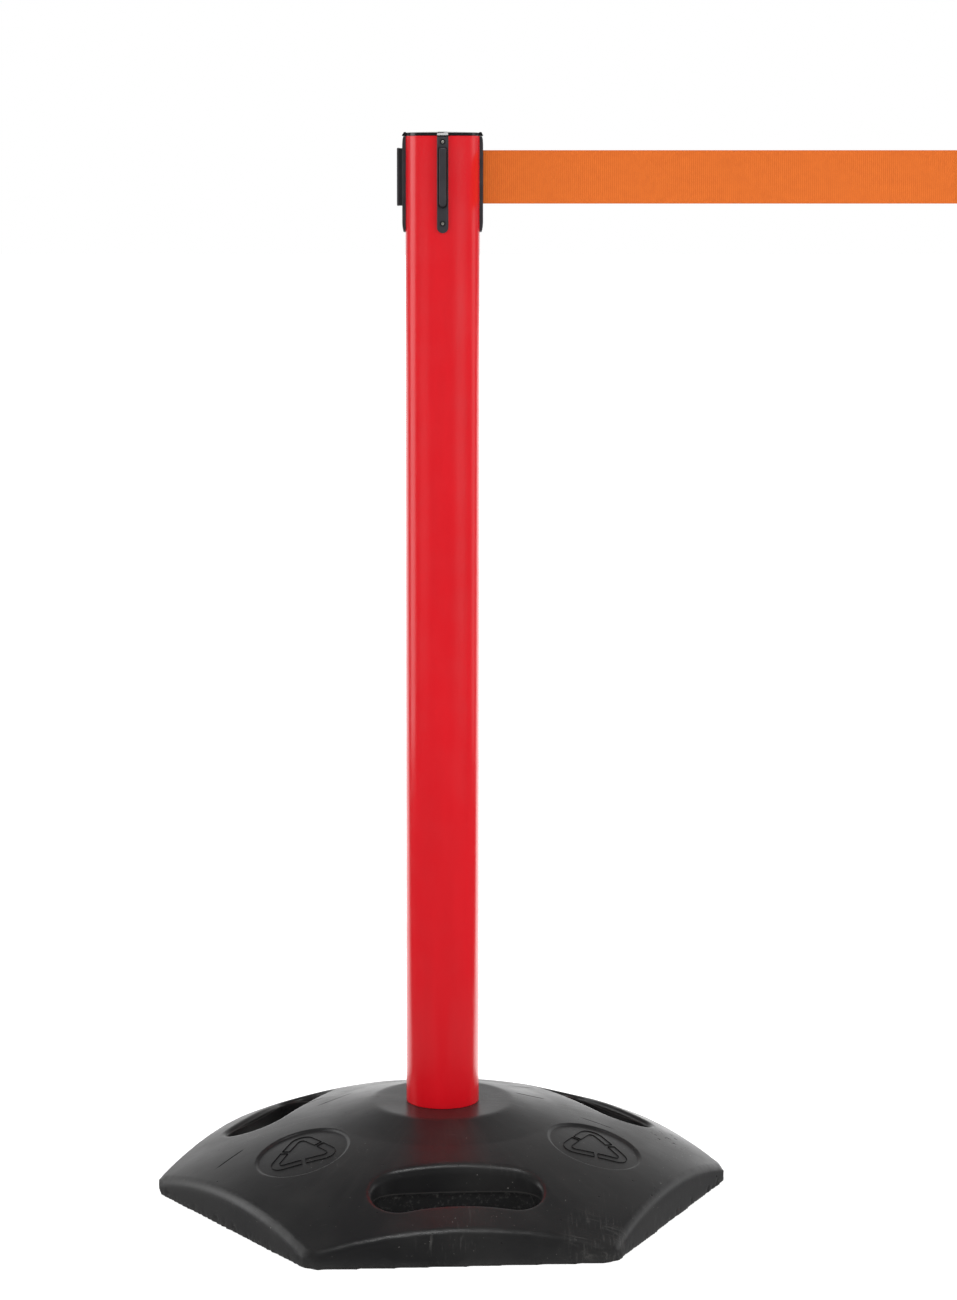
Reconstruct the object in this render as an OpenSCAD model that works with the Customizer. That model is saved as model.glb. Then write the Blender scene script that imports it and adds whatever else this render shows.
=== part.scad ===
// Retractable-belt barrier post on a recycled-rubber hexagonal base.
// Millimetres. +Z is up, the origin is on the floor under the post's axis,
// the front faces -Y and the post's own belt is pulled out along +X.

/* [Post] */
// Height of the whole barrier, floor to the crown of the cap
overall_h = 1016; // [900:1:1100]
// Outside diameter of the post tube
tube_od = 70; // [68:0.5:76]
// Wall of the post tube
tube_wall = 4; // [3.5:0.25:5]
// Thickness of the cap at its rim
cap_rim_h = 2.6; // [1.4:0.1:3]
// How far the cap's crown rises above its rim
cap_crown = 1.4; // [1.2:0.1:3]

/* [Rubber base] */
// Width of the hexagon across its flats
base_af = 482; // [460:1:510]
// Diameter of the round that trims the hexagon's corners
corner_d = 548; // [536:1:552]
// Height of the flat platform that carries the post
platform_z = 86; // [80:1:94]
// Diameter of the flat of the platform
platform_d = 136; // [110:1:150]
// Width of the slope round the platform
platform_slope_w = 16; // [10:1:20]
// Radius of the domed top
dome_r = 560; // [540:5:600]
// Drop of the dome's apex below the platform
dome_drop = 0.5; // [0.3:0.1:2]
// Draft of the six side faces, in degrees
side_draft = 3; // [0:0.5:6]
// Rounding of the edge between dome and side
edge_r = 9; // [5:0.5:12]
// Angle at which the base was screwed on, in degrees
base_turn = 4.2; // [-30:0.1:30]

/* [Hand slots] */
// Distance from the post's axis to a slot's centre
slot_r = 175.5; // [165:0.5:182]
// Width of a hand slot
slot_w = 54; // [44:1:58]
// Length of a hand slot
slot_l = 155; // [120:1:170]
// Radius to which a slot's centre line bends outwards
slot_bend_r = 450; // [350:10:700]
// Rounding of a slot's mouth
slot_edge_r = 7; // [4:0.5:9]
// Height of the parting ledge in a slot
slot_ledge_z = 40; // [30:1:44]
// Width of the ledge, by which the lower half is wider
slot_ledge_w = 2; // [1:0.25:4]

/* [Round panels] */
// Distance from the post's axis to a panel's centre
panel_r = 160; // [150:1:175]
// Diameter of a sunk panel
panel_d = 89; // [70:1:100]
// Depth of a sunk panel
panel_depth = 2.2; // [1:0.1:3]

/* [Base fastening] */
// Thread diameter of the base bolt
bolt_d = 12; // [10:1:14]
// Width of the bolt head and nut across flats
hex_af = 19; // [17:0.5:22]
// Height of the bolt's head
bolt_head_h = 7.5; // [6:0.5:9]
// Length of the bolt under its head
bolt_l = 105; // [102:1:112]
// Diameter of the large washer under the base
washer_d = 60; // [50:1:70]
// Thickness of the large washer
washer_t = 3; // [2:0.5:4]
// Thickness of the split lock washer
lock_t = 2.6; // [2:0.2:3.2]
// Height of the nut in the post's foot plug
nut_h = 10; // [8:0.5:12]
// Height of the foot plug
plug_h = 34; // [30:1:50]
// Thickness of the foot plug's floor
plug_floor_t = 8; // [6:0.5:10]
// Thickness of the foot plug's skirt and ribs
plug_wall = 3; // [2:0.25:4]

/* [Rails and mouth] */
// Width of a receiver plate
plate_w = 10.6; // [9.5:0.1:12]
// How far a receiver plate stands off the tube
plate_t = 3; // [2.6:0.1:4]
// Length of a receiver plate below the cap
plate_l = 90; // [88:1:96]
// Length of a receiver's T rail
rail_l = 54.5; // [52:0.5:58]
// Distance from the top of the plate to the top of the T rail
rail_drop = 10.8; // [10:0.1:12]
// How far the T rail stands off its plate
rail_h = 5; // [4.4:0.1:6]
// Width of the T rail's head
rail_w = 6.8; // [6:0.1:7.4]
// Thickness of the T rail's head
rail_head_t = 2.4; // [2:0.1:2.8]
// Thickness of the T rail's neck
rail_neck_w = 3.2; // [2.6:0.1:3.4]
// Distance from the top of the plate to the upper screw
upper_screw_drop = 5.4; // [5:0.1:6]
// Distance from the top of the plate to the lower screw
lower_screw_drop = 81.2; // [80.5:0.1:82.5]

/* [Belt] */
// Width of the belt
belt_w = 50; // [46:1:50]
// Thickness of the belt
belt_t = 0.5; // [0.4:0.05:0.7]
// Length of the whole belt
belt_l = 3350; // [2300:50:3600]
// Distance from the post's axis to the clip of the pulled-out belt
belt_out = 500; // [300:10:700]
// Gap between the belt and what guides its edges
belt_side_gap = 0.5; // [0.3:0.1:0.8]

/* [Belt clip] */
// Depth of the clip along the belt
clip_depth = 17; // [16.5:0.5:20]
// Width of the clip across the belt
clip_w = 14; // [13:0.5:16]
// Thickness of the cap on the clip
clip_cap_t = 3; // [2:0.25:4]
// Gap between the clip's channel and a T rail
clip_gap = 0.4; // [0.3:0.05:0.6]
// Diameter of the pin in the belt's end loop
loop_pin_d = 3; // [2:0.25:3.5]

/* [Cassette] */
// Wall of the cassette cup
cup_wall = 2; // [1.6:0.1:2.4]
// Diameter of the spindle
spindle_d = 6; // [5:0.5:7]
// Diameter of the spool's hub
hub_d = 18; // [16:0.5:20]
// Diameter of the spool's flanges
flange_d = 54; // [52:0.5:54.5]
// Thickness of the spool's flanges
flange_t = 1.2; // [1:0.1:1.5]
// Height of the spring drum under the spool
drum_h = 12; // [11:0.5:14]
// Outside diameter of the spring drum
drum_d = 46; // [40:1:48]
// Turns of the power spring
spring_turns = 8; // [5:1:9]
// Thickness of the power spring's strip
spring_t = 0.4; // [0.3:0.05:0.5]

/* [Screws] */
// Thread diameter of the receiver screws
screw_d = 3.5; // [3:0.1:4]
// Head diameter of the receiver screws
screw_head_d = 5.4; // [5:0.1:6]
// Depth of a screw's head below the face of its plate
screw_inset = 0.9; // [0.3:0.1:1.2]
// Length of the receiver screws
screw_l = 13; // [12:0.5:14]

/* [Hidden] */

$fn = 96;
eps = 0.5;            // overshoot of a cut past the face it opens
seat = 0.02;          // radial gap of a seated round piece
run_gap = 0.05;       // radial gap of a running fit
end_gap = 0.3;        // axial gap beside a turning piece
crease = 12;          // angle at which a rounding meets its faces
end_swell = 0.1;      // by which a slot's round ends stand out past its sides

tube_r = tube_od / 2;
bore_r = tube_r - tube_wall;
cap_z = overall_h - cap_crown - cap_rim_h;      // top end of the tube
tube_l = cap_z - platform_z;

// Rubber base
corner_r = corner_d / 2;
dome_z = platform_z - dome_drop - dome_r;        // centre of the dome's sphere
platform_r = platform_d / 2;
sides = 6;
side_half_l = sqrt(pow(corner_r, 2) - pow(base_af / 2, 2));   // between trimmed corners
slots = 3;
panels = 3;
slot_start = -90;                                // direction of the front slot
panel_start = slot_start - 180 / slots;
pocket_d = washer_d + 3;
pocket_h = washer_t + lock_t + bolt_head_h + 2.9;
head_z = pocket_h - washer_t - lock_t;           // underside of the lock washer
bolt_hole_d = bolt_d + 1;
plug_boss_d = hex_af / cos(30) + 8;
plug_rib_h = nut_h - 2;
nut_z = platform_z + plug_floor_t;

// Receivers
face_r = tube_r + plate_t;
plate_top = cap_z - 0.4;
plate_bottom = plate_top - plate_l;
rail_top = plate_top - rail_drop;
rail_bottom = rail_top - rail_l;
rail_face_r = face_r + rail_h;
screw_zs = [plate_top - upper_screw_drop, plate_top - lower_screw_drop];
screw_r = screw_d / 2;
screw_hole_r = screw_r + run_gap;
screw_sink = (screw_head_d - screw_d) / 2;
receiver_dirs = [-90, 180, 90];                  // front, left and back
mouth_dir = 0;
lug_h = cap_rim_h + 1.2;

// Belt and its mouth
belt_z = (rail_top + rail_bottom) / 2;           // middle of the belt
belt_lo = belt_z - belt_w / 2;
belt_hi = belt_z + belt_w / 2;
mouth_gap = 2.4;                                 // width of the belt's slot
mouth_h = belt_w + 2 * belt_side_gap;
nozzle_w = 6.6;
nozzle_h = mouth_h + 4;
nozzle_gap = 0.3;

// Spool and cassette
cup_r = bore_r - 0.2;
cup_inner_r = cup_r - cup_wall;
hub_r = hub_d / 2;
flange_r = flange_d / 2;
hub_bore_r = spindle_d / 2 + 2;
bush_flange_r = spindle_d / 2 + 4;
bush_flange_t = 0.8;
flange_lo = belt_lo - belt_side_gap - flange_t;  // underside of the lower flange
flange_hi = belt_hi + belt_side_gap;             // underside of the upper flange
lid_z = flange_hi + flange_t + 0.8;
lid_t = 2.2;
lid_boss_z = flange_hi + bush_flange_t + end_gap;
cap_spigot_h = cap_z - lid_z - lid_t;            // the spigot holds the lid down
drum_z = flange_lo - drum_h;
cup_floor_z = drum_z - 1;
cup_floor_t = 3;
cup_bottom = min(cup_floor_z - cup_floor_t, screw_zs[1] - screw_r - 1.5);
cup_ring_r = cup_r - 7;
boss_r = 8;
arbor_d = spindle_d + 2.4;
arbor_top = flange_lo - bush_flange_t - 0.1;
spindle_top = lid_z + lid_t + 2.4;
clip_ring_z = lid_z + lid_t;
roll_gap = 0.3;
roll_r = sqrt(pow(hub_r, 2) + (belt_l - belt_out) * belt_t / PI);
lead_x = bore_r - 1;                             // where the belt straightens
lead_r = roll_r + roll_gap + belt_t / 2;
lead_turn = acos(lead_r / lead_x);

// Clip
clip_x = belt_out;
clip_far = clip_x + clip_depth;
clip_top = belt_hi + 3.5;
clip_bottom = belt_lo - 3.5;
loop_r = loop_pin_d / 2 + seat;
pocket_r = loop_r + belt_t + 0.3;
loop_x = clip_x + pocket_r + 1.6;
channel_w = rail_w + 2 * clip_gap;
channel_neck_w = rail_neck_w + 2 * clip_gap + 0.6;
channel_head_t = rail_head_t + 2 * clip_gap;
channel_lip_t = rail_h - rail_head_t - clip_gap;

rubber_c = [0.16, 0.16, 0.17];
tube_c = [0.87, 0.13, 0.16];
black_c = [0.11, 0.11, 0.12];
trim_c = [0.24, 0.24, 0.26];
steel_c = [0.72, 0.73, 0.75];
belt_c = [0.90, 0.47, 0.20];
nylon_c = [0.86, 0.85, 0.80];

// ---------------------------------------------------------------- rubber base

// Corner outside an arc of radius r that meets two faces at the crease angle.
// The arc's centre is at c, and the faces' directions from it are a and b.
module corner_profile(c, r, a, b) {
  reach = 3 * r;
  difference() {
    polygon([c,
             c + reach * [cos(a), sin(a)],
             c + 1.3 * reach * [cos((a + b) / 2), sin((a + b) / 2)],
             c + reach * [cos(b), sin(b)]]);
    translate(c) circle(r);
  }
}

// Frame of one side face: +Z' is the face's normal, through the dome's centre
module side_frame(i) {
  rotate([0, 0, i * 360 / sides])
    translate([0, 0, dome_z])
      rotate([0, 90 - side_draft, 0])
        children();
}

// Everything beyond a drafted side face, and the corner over its rounded edge
module side_cut() {
  side_d = base_af / 2 * cos(side_draft) - dome_z * sin(side_draft);
  inset = edge_r * cos(crease);
  across = side_d - inset;
  out = sqrt(pow(dome_r - inset, 2) - pow(across, 2));
  turn = asin(side_half_l / out);
  translate([-dome_r * 1.2, -base_af / 2, side_d])
    cube([dome_r * 1.6, base_af, base_af / 4]);
  rotate([0, 0, 180 - turn])
    rotate_extrude(angle = 2 * turn)
      corner_profile([out, across], edge_r, atan2(across, out), 90);
}

// Outline of a hand slot: a bent band with round ends, grown by a margin
module slot_outline(grow) {
  half_w = slot_w / 2 + grow;
  turn = asin((slot_l / 2 - slot_w / 2) / slot_bend_r);
  reach = 2 * slot_l;
  translate([slot_r + slot_bend_r, 0]) {
    intersection() {
      difference() {
        circle(slot_bend_r + half_w - end_swell);
        circle(slot_bend_r - half_w + end_swell);
      }
      polygon([[0, 0], [-slot_bend_r - reach, (slot_bend_r + reach) * tan(turn)],
               [-slot_bend_r - reach, -(slot_bend_r + reach) * tan(turn)]]);
    }
    for (s = [-1, 1])
      rotate(s * turn) translate([-slot_bend_r, 0]) circle(half_w);
  }
}

// Half of the profile of a slot's rounded mouth, beside its centre line
module mouth_half_profile() {
  inset = slot_edge_r * cos(crease);
  aside = slot_w / 2 + inset;
  translate([0, dome_r]) {
    difference() {
      translate([0, -slot_edge_r]) square([aside, 2.5 * slot_edge_r]);
      translate([aside, -inset]) circle(slot_edge_r);
    }
  }
}

// Rounded mouth of a hand slot, which follows the dome along the slot
module slot_mouth() {
  tilt = asin(slot_r / dome_r);
  lean = atan(dome_r / slot_bend_r);
  turn = asin((slot_l / 2 - slot_w / 2) / slot_bend_r);
  translate([0, 0, dome_z])
    rotate([0, tilt + lean, 0]) {
      rotate([0, 0, 180 - turn])
        rotate_extrude(angle = 2 * turn)
          rotate(lean) {
            mouth_half_profile();
            mirror([1, 0]) mouth_half_profile();
          }
      for (s = [-1, 1])
        rotate([0, 0, s * turn]) rotate([0, -lean, 0])
          rotate_extrude() mouth_half_profile();
    }
}

module hand_slot() {
  translate([0, 0, -eps]) linear_extrude(platform_z) slot_outline(0);
  translate([0, 0, -eps]) linear_extrude(slot_ledge_z + eps)
    slot_outline(slot_ledge_w);
  slot_mouth();
}

// Sunk round panel whose floor follows the dome
module panel_cut() {
  translate([0, 0, dome_z])
    rotate([0, asin(panel_r / dome_r), 0])
      difference() {
        translate([0, 0, dome_r - 2 * panel_depth - panel_d / 10])
          cylinder(d = panel_d, h = panel_d / 5);
        sphere(dome_r - panel_depth, $fn = 3 * $fn);
      }
}

module rubber_base() color(rubber_c) rotate([0, 0, base_turn])
  difference() {
    union() {
      intersection() {
        translate([0, 0, dome_z]) sphere(dome_r, $fn = 3 * $fn);
        cylinder(r = corner_r, h = platform_z);
      }
      translate([0, 0, platform_z - platform_slope_w / 2])
        cylinder(r1 = platform_r + platform_slope_w, r2 = platform_r,
                 h = platform_slope_w / 2);
    }
    for (i = [0 : sides - 1]) rotate([0, 0, -90]) side_frame(i) side_cut();
    for (i = [0 : slots - 1]) rotate([0, 0, slot_start + i * 360 / slots]) hand_slot();
    for (i = [0 : panels - 1]) rotate([0, 0, panel_start + i * 360 / panels]) panel_cut();
    translate([0, 0, -eps]) cylinder(d = pocket_d, h = pocket_h + eps);
    cylinder(d = bolt_hole_d, h = platform_z + eps);
  }

module base_washer() color(steel_c)
  translate([0, 0, pocket_h - washer_t]) difference() {
    cylinder(d = washer_d, h = washer_t);
    translate([0, 0, -eps]) cylinder(d = bolt_hole_d, h = washer_t + 2 * eps);
  }

// Split ring, cut on a slant
module lock_washer() color(steel_c)
  translate([0, 0, head_z]) difference() {
    cylinder(d = hex_af - 0.5, h = lock_t);
    translate([0, 0, -eps]) cylinder(d = bolt_d + 0.4, h = lock_t + 2 * eps);
    translate([hex_af / 2 - 2, 0, lock_t / 2]) rotate([30, 0, 0])
      cube([hex_af / 2, 1.2, 3 * lock_t], center = true);
  }

module base_bolt() color(steel_c)
  translate([0, 0, head_z - bolt_head_h]) {
    intersection() {
      cylinder(d = hex_af / cos(30), h = bolt_head_h, $fn = 6);
      cylinder(d1 = hex_af * 0.97, d2 = hex_af * 0.97 + 4 * bolt_head_h, h = bolt_head_h);
    }
    cylinder(d = bolt_d, h = bolt_head_h + bolt_l - 1.5);
    translate([0, 0, bolt_head_h + bolt_l - 1.5])
      cylinder(d1 = bolt_d, d2 = bolt_d - 3, h = 1.5);
  }

// --------------------------------------------------------------------- post

// Moulded plug glued into the tube's foot: floor, skirt, nut boss and six ribs
module foot_plug() color(black_c)
  translate([0, 0, platform_z]) difference() {
    union() {
      cylinder(r = bore_r - seat, h = plug_floor_t);
      difference() {
        cylinder(r = bore_r - seat, h = plug_h);
        cylinder(r = bore_r - plug_wall, h = plug_h + eps);
      }
      cylinder(d = plug_boss_d, h = plug_floor_t + nut_h);
      for (i = [0 : 5]) rotate([0, 0, i * 60])
        translate([0, -plug_wall / 2, 0])
          cube([bore_r - plug_wall / 2, plug_wall, plug_floor_t + plug_rib_h]);
    }
    translate([0, 0, -eps]) cylinder(d = bolt_hole_d, h = plug_h);
    translate([0, 0, plug_floor_t])
      cylinder(d = (hex_af + 0.2) / cos(30), h = plug_h, $fn = 6);
  }

module plug_nut() color(steel_c)
  translate([0, 0, nut_z]) difference() {
    cylinder(d = hex_af / cos(30), h = nut_h, $fn = 6);
    translate([0, 0, -eps]) cylinder(d = bolt_d + 2 * run_gap, h = nut_h + 2 * eps);
  }

// Places children in one direction round the tube, facing outwards along +X
module facing(dir) rotate([0, 0, dir]) children();

module post_tube() color(tube_c)
  difference() {
    translate([0, 0, platform_z]) cylinder(r = tube_r, h = tube_l);
    translate([0, 0, platform_z - eps]) cylinder(r = bore_r, h = tube_l + 2 * eps);
    for (dir = concat(receiver_dirs, mouth_dir), z = screw_zs)
      facing(dir) translate([bore_r - 2, 0, z]) rotate([0, 90, 0])
        cylinder(r = screw_r + 0.3, h = tube_wall + 4);
    facing(mouth_dir)
      translate([bore_r - 3, -nozzle_w / 2 - nozzle_gap, belt_z - nozzle_h / 2 - nozzle_gap])
        cube([tube_wall + 6, nozzle_w + 2 * nozzle_gap, nozzle_h + 2 * nozzle_gap]);
  }

// Rounded lug on the cap's rim, over the head of a receiver plate
module cap_lug() {
  translate([0, -plate_w / 2, plate_top + 0.1])
    intersection() {
      cube([face_r, plate_w, lug_h]);
      translate([face_r - 2.4, plate_w + eps, lug_h - 2.4])
        rotate([90, 0, 0]) linear_extrude(plate_w + 2 * eps) lug_outline();
    }
}

// Side view of a lug: square below, one rounded corner at the top
module lug_outline() {
  circle(2.4);
  translate([-face_r, -lug_h]) square([face_r, lug_h + 2.4]);
  translate([-face_r, -lug_h]) square([face_r + 2.4, lug_h]);
}

// Cap: domed disc with four lugs, and a spigot that takes the upper screws
module head_cap() color(black_c)
  difference() {
    union() {
      crown_r = (pow(tube_r, 2) + pow(cap_crown, 2)) / (2 * cap_crown);
      intersection() {
        translate([0, 0, cap_z]) cylinder(r = tube_r, h = cap_rim_h + cap_crown + eps);
        translate([0, 0, overall_h - crown_r]) sphere(crown_r, $fn = 6 * $fn);
      }
      translate([0, 0, cap_z - cap_spigot_h]) difference() {
        cylinder(r = cup_r, h = cap_spigot_h);
        translate([0, 0, -eps]) cylinder(r = cup_ring_r, h = cap_spigot_h + eps);
      }
      for (dir = concat(receiver_dirs, mouth_dir)) facing(dir)
        difference() {
          cap_lug();
          translate([-eps, -plate_w, 0]) cube([tube_r - 2, 2 * plate_w, overall_h]);
          cylinder(r = tube_r, h = cap_z);
        }
    }
    for (dir = concat(receiver_dirs, mouth_dir)) facing(dir)
      translate([cup_ring_r - eps, 0, screw_zs[0]]) rotate([0, 90, 0])
        cylinder(r = screw_hole_r, h = cup_r - cup_ring_r + 2 * eps);
  }

// ---------------------------------------------------------- receivers, mouth

// Front view of a plate: square top, round bottom
module plate_front() {
  translate([0, plate_bottom + plate_w / 2]) circle(d = plate_w);
  translate([-plate_w / 2, plate_bottom + plate_w / 2])
    square([plate_w, plate_l - plate_w / 2]);
}

// Side view of a plate: eased at its top and run down to the tube at its tip
module plate_side() {
  deep = tube_r - 2;
  polygon([[deep, plate_top], [face_r - 1, plate_top], [face_r - 0.3, plate_top - 3],
           [face_r, plate_top - 8], [face_r, plate_bottom + 9],
           [face_r - 0.3, plate_bottom + 5], [face_r - 1.1, plate_bottom],
           [deep, plate_bottom]]);
}

// Places a side view, drawn as (radius, height), as a slab of width w
module slab(w) translate([0, w / 2, 0]) rotate([90, 0, 0]) linear_extrude(w) children();

module plate_blank() difference() {
  intersection() {
    slab(plate_w) plate_side();
    rotate([90, 0, 90]) linear_extrude(face_r + eps) plate_front();
  }
  translate([0, 0, plate_bottom - eps]) cylinder(r = tube_r, h = plate_l + 2 * eps);
}

// Countersunk hole for a plate's screw
module plate_screw_hole(z) translate([0, 0, z]) rotate([0, 90, 0]) {
  cylinder(r = screw_hole_r, h = face_r + eps);
  translate([0, 0, face_r - screw_inset - screw_sink])
    cylinder(r1 = screw_hole_r, r2 = screw_head_d / 2 + run_gap, h = screw_sink);
  translate([0, 0, face_r - screw_inset])
    cylinder(d = screw_head_d + 2 * run_gap, h = screw_inset + eps);
}

// Side view of the rail's head: a long lead-in at the top, a short one below
module rail_head_side() {
  polygon([[rail_face_r - rail_head_t, rail_bottom], [rail_face_r - 0.5, rail_bottom],
           [rail_face_r, rail_bottom + 0.6], [rail_face_r, rail_top - 2.2],
           [rail_face_r - 0.4, rail_top - 0.9], [rail_face_r - 1.3, rail_top],
           [rail_face_r - rail_head_t, rail_top]]);
}

// Plan of the rail's head, with eased outer edges
module rail_head_plan() {
  ease = 0.7;
  polygon([[face_r, -rail_w / 2], [rail_face_r - ease, -rail_w / 2],
           [rail_face_r, -rail_w / 2 + ease], [rail_face_r, rail_w / 2 - ease],
           [rail_face_r - ease, rail_w / 2], [face_r, rail_w / 2]]);
}

// Receiver: plate with a T rail that a neighbour's belt clip slides down
module receiver() color(trim_c) difference() {
  union() {
    plate_blank();
    intersection() {
      slab(rail_w) rail_head_side();
      translate([0, 0, rail_bottom]) linear_extrude(rail_l) rail_head_plan();
    }
    translate([face_r - 1, -rail_neck_w / 2, rail_bottom])
      cube([rail_h - rail_head_t + 1.5, rail_neck_w, rail_l - 1.5]);
  }
  for (z = screw_zs) plate_screw_hole(z);
}

module receiver_front() facing(receiver_dirs[0]) receiver();
module receiver_left() facing(receiver_dirs[1]) receiver();
module receiver_back() facing(receiver_dirs[2]) receiver();

// Mouth: plate with a nozzle through the tube that the belt comes out of
module belt_mouth() color(trim_c) facing(mouth_dir) difference() {
  union() {
    plate_blank();
    translate([bore_r, -nozzle_w / 2, belt_z - nozzle_h / 2])
      cube([face_r - bore_r - 1, nozzle_w, nozzle_h]);
  }
  for (z = screw_zs) plate_screw_hole(z);
  translate([bore_r - eps, -mouth_gap / 2, belt_z - mouth_h / 2])
    cube([face_r - bore_r + 2 * eps, mouth_gap, mouth_h]);
  translate([face_r - 0.8, 0, belt_z - mouth_h / 2])
    linear_extrude(mouth_h)
      polygon([[0, -mouth_gap / 2], [1, -mouth_gap / 2 - 0.9], [1, mouth_gap / 2 + 0.9],
               [0, mouth_gap / 2]]);
}

// Countersunk cross-recessed screw, head outwards along +X
module receiver_screw() {
  head_x = face_r - screw_inset;
  difference() {
    rotate([0, 90, 0]) {
      translate([0, 0, head_x - screw_l]) cylinder(r = screw_r, h = screw_l - screw_sink);
      translate([0, 0, head_x - screw_sink])
        cylinder(r1 = screw_r, r2 = screw_head_d / 2, h = screw_sink);
    }
    for (a = [0, 90]) rotate([a, 0, 0])
      translate([head_x - 1.1, -screw_head_d / 3.4, -0.35])
        cube([2, screw_head_d / 1.7, 0.7]);
  }
}

module receiver_screws() color(steel_c)
  for (dir = concat(receiver_dirs, mouth_dir), z = screw_zs)
    facing(dir) translate([0, 0, z]) receiver_screw();

// ----------------------------------------------------------------- cassette

module cassette_cup() color(black_c) difference() {
  translate([0, 0, cup_bottom]) cylinder(r = cup_r, h = lid_z - cup_bottom);
  translate([0, 0, cup_floor_z]) cylinder(r = cup_inner_r, h = lid_z);
  difference() {
    translate([0, 0, cup_bottom - eps])
      cylinder(r = cup_ring_r, h = cup_floor_z - cup_floor_t - cup_bottom + eps);
    translate([0, 0, cup_bottom]) cylinder(r = boss_r, h = cup_floor_z);
  }
  translate([0, 0, cup_bottom - eps])
    cylinder(d = spindle_d + 2 * seat, h = cup_floor_z);
  for (dir = concat(receiver_dirs, mouth_dir)) facing(dir)
    translate([cup_ring_r - eps, 0, screw_zs[1]]) rotate([0, 90, 0])
      cylinder(r = screw_hole_r, h = cup_r);
  facing(mouth_dir)
    translate([hub_r, -nozzle_w / 2, belt_z - nozzle_h / 2])
      cube([cup_r, nozzle_w, nozzle_h]);
}

module cassette_lid() color(black_c) difference() {
  union() {
    translate([0, 0, lid_z]) cylinder(r = cup_r, h = lid_t);
    translate([0, 0, lid_boss_z]) cylinder(r = bush_flange_r - 0.5, h = lid_z + eps - lid_boss_z);
  }
  translate([0, 0, lid_boss_z - eps])
    cylinder(d = spindle_d + 2 * seat, h = lid_z + lid_t + 2 * eps - lid_boss_z);
  for (i = [0 : 5]) rotate([0, 0, 30 + i * 60]) translate([boss_r + 7, 0, lid_z - eps])
    cylinder(r = 4.5, h = lid_t + 2 * eps);
}

module spindle() color(steel_c) difference() {
  union() {
    translate([0, 0, cup_bottom]) cylinder(d = spindle_d, h = spindle_top - cup_bottom);
    translate([0, 0, cup_floor_z]) cylinder(d = arbor_d, h = arbor_top - cup_floor_z);
  }
  translate([0, 0, clip_ring_z]) difference() {
    cylinder(d = spindle_d + 2, h = 0.8);
    translate([0, 0, -eps]) cylinder(d = spindle_d - 1.4, h = 0.8 + 2 * eps);
  }
  translate([0, -0.4, drum_z]) cube([arbor_d, 0.8, drum_h - 2]);
}

// Retaining ring in the spindle's groove
module spindle_clip() color(steel_c)
  translate([0, 0, clip_ring_z + seat]) difference() {
    cylinder(d = spindle_d + 6, h = 0.8 - 2 * seat);
    translate([0, 0, -eps]) cylinder(d = spindle_d - 1.4 + 2 * seat, h = 2);
    translate([-spindle_d / 2 + 0.9, 0, -eps])
      cube([spindle_d - 1.8, spindle_d, 2]);
  }

// Flanged bush, flange down at z = 0
module bush(l) difference() {
  union() {
    cylinder(r = hub_bore_r - seat, h = l);
    cylinder(r = bush_flange_r, h = bush_flange_t);
  }
  translate([0, 0, -eps]) cylinder(d = spindle_d + 2 * run_gap, h = l + 2 * eps);
}

module lower_bush() color(nylon_c) translate([0, 0, flange_lo - bush_flange_t]) bush(10);

module upper_bush() color(nylon_c)
  translate([0, 0, flange_hi + bush_flange_t]) mirror([0, 0, 1]) bush(10);

// Hub with the lower flange and the spring drum under it
module spool_hub() color(nylon_c) translate([0, 0, flange_lo])
  rotate_extrude() polygon([
    [hub_bore_r, 0], [drum_d / 2 - 2, 0], [drum_d / 2 - 2, -drum_h + end_gap],
    [drum_d / 2, -drum_h + end_gap], [drum_d / 2, 0], [flange_r, 0],
    [flange_r, flange_t], [hub_r, flange_t], [hub_r, flange_hi - flange_lo],
    [hub_bore_r, flange_hi - flange_lo]]);

module spool_flange() color(nylon_c) translate([0, 0, flange_hi]) difference() {
  cylinder(r = flange_r, h = flange_t);
  translate([0, 0, -eps]) cylinder(r = bush_flange_r + 0.2, h = flange_t + 2 * eps);
}

// Flat spiral spring from the arbor's slit to the drum's wall
function spiral(r0, r1, turns, steps) =
  [for (i = [0 : turns * steps])
    let (a = i * 360 / steps, r = r0 + (r1 - r0) * i / (turns * steps))
    [r * cos(a), r * sin(a)]];

module power_spring() color(steel_c) {
  steps = 16;
  inner = arbor_d / 2 + 0.1;
  outer = drum_d / 2 - 2 - 0.1 - spring_t;
  inside = spiral(inner, outer, spring_turns, steps);
  outside = spiral(inner + spring_t, outer + spring_t, spring_turns, steps);
  n = len(outside) - 1;
  translate([0, 0, drum_z + 1]) linear_extrude(drum_h - 3)
    polygon(concat(inside, [for (i = [0 : n]) outside[n - i]]));
}

module belt_roll() color(belt_c) translate([0, 0, belt_lo]) difference() {
  cylinder(r = roll_r, h = belt_w);
  translate([0, 0, -eps]) cylinder(r = hub_r + seat, h = belt_w + 2 * eps);
}

// --------------------------------------------------------------- belt, clip

// Belt on edge: from the roll to the mouth, straight out, and round the loop pin
module belt() color(belt_c) translate([0, 0, belt_lo]) linear_extrude(belt_w) {
  tip = lead_r * [cos(lead_turn), sin(lead_turn)];
  side = belt_t / 2 * [cos(lead_turn), sin(lead_turn)];
  bend = belt_t / 2 * tan((90 - lead_turn) / 2);
  difference() {
    union() {
      polygon([tip + side, [lead_x + bend, belt_t / 2], [loop_x, belt_t / 2],
               [loop_x, -belt_t / 2], [lead_x - bend, -belt_t / 2], tip - side]);
      translate([loop_x, 0]) circle(loop_r + belt_t);
    }
    translate([loop_x, 0]) circle(loop_r);
  }
}

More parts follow.
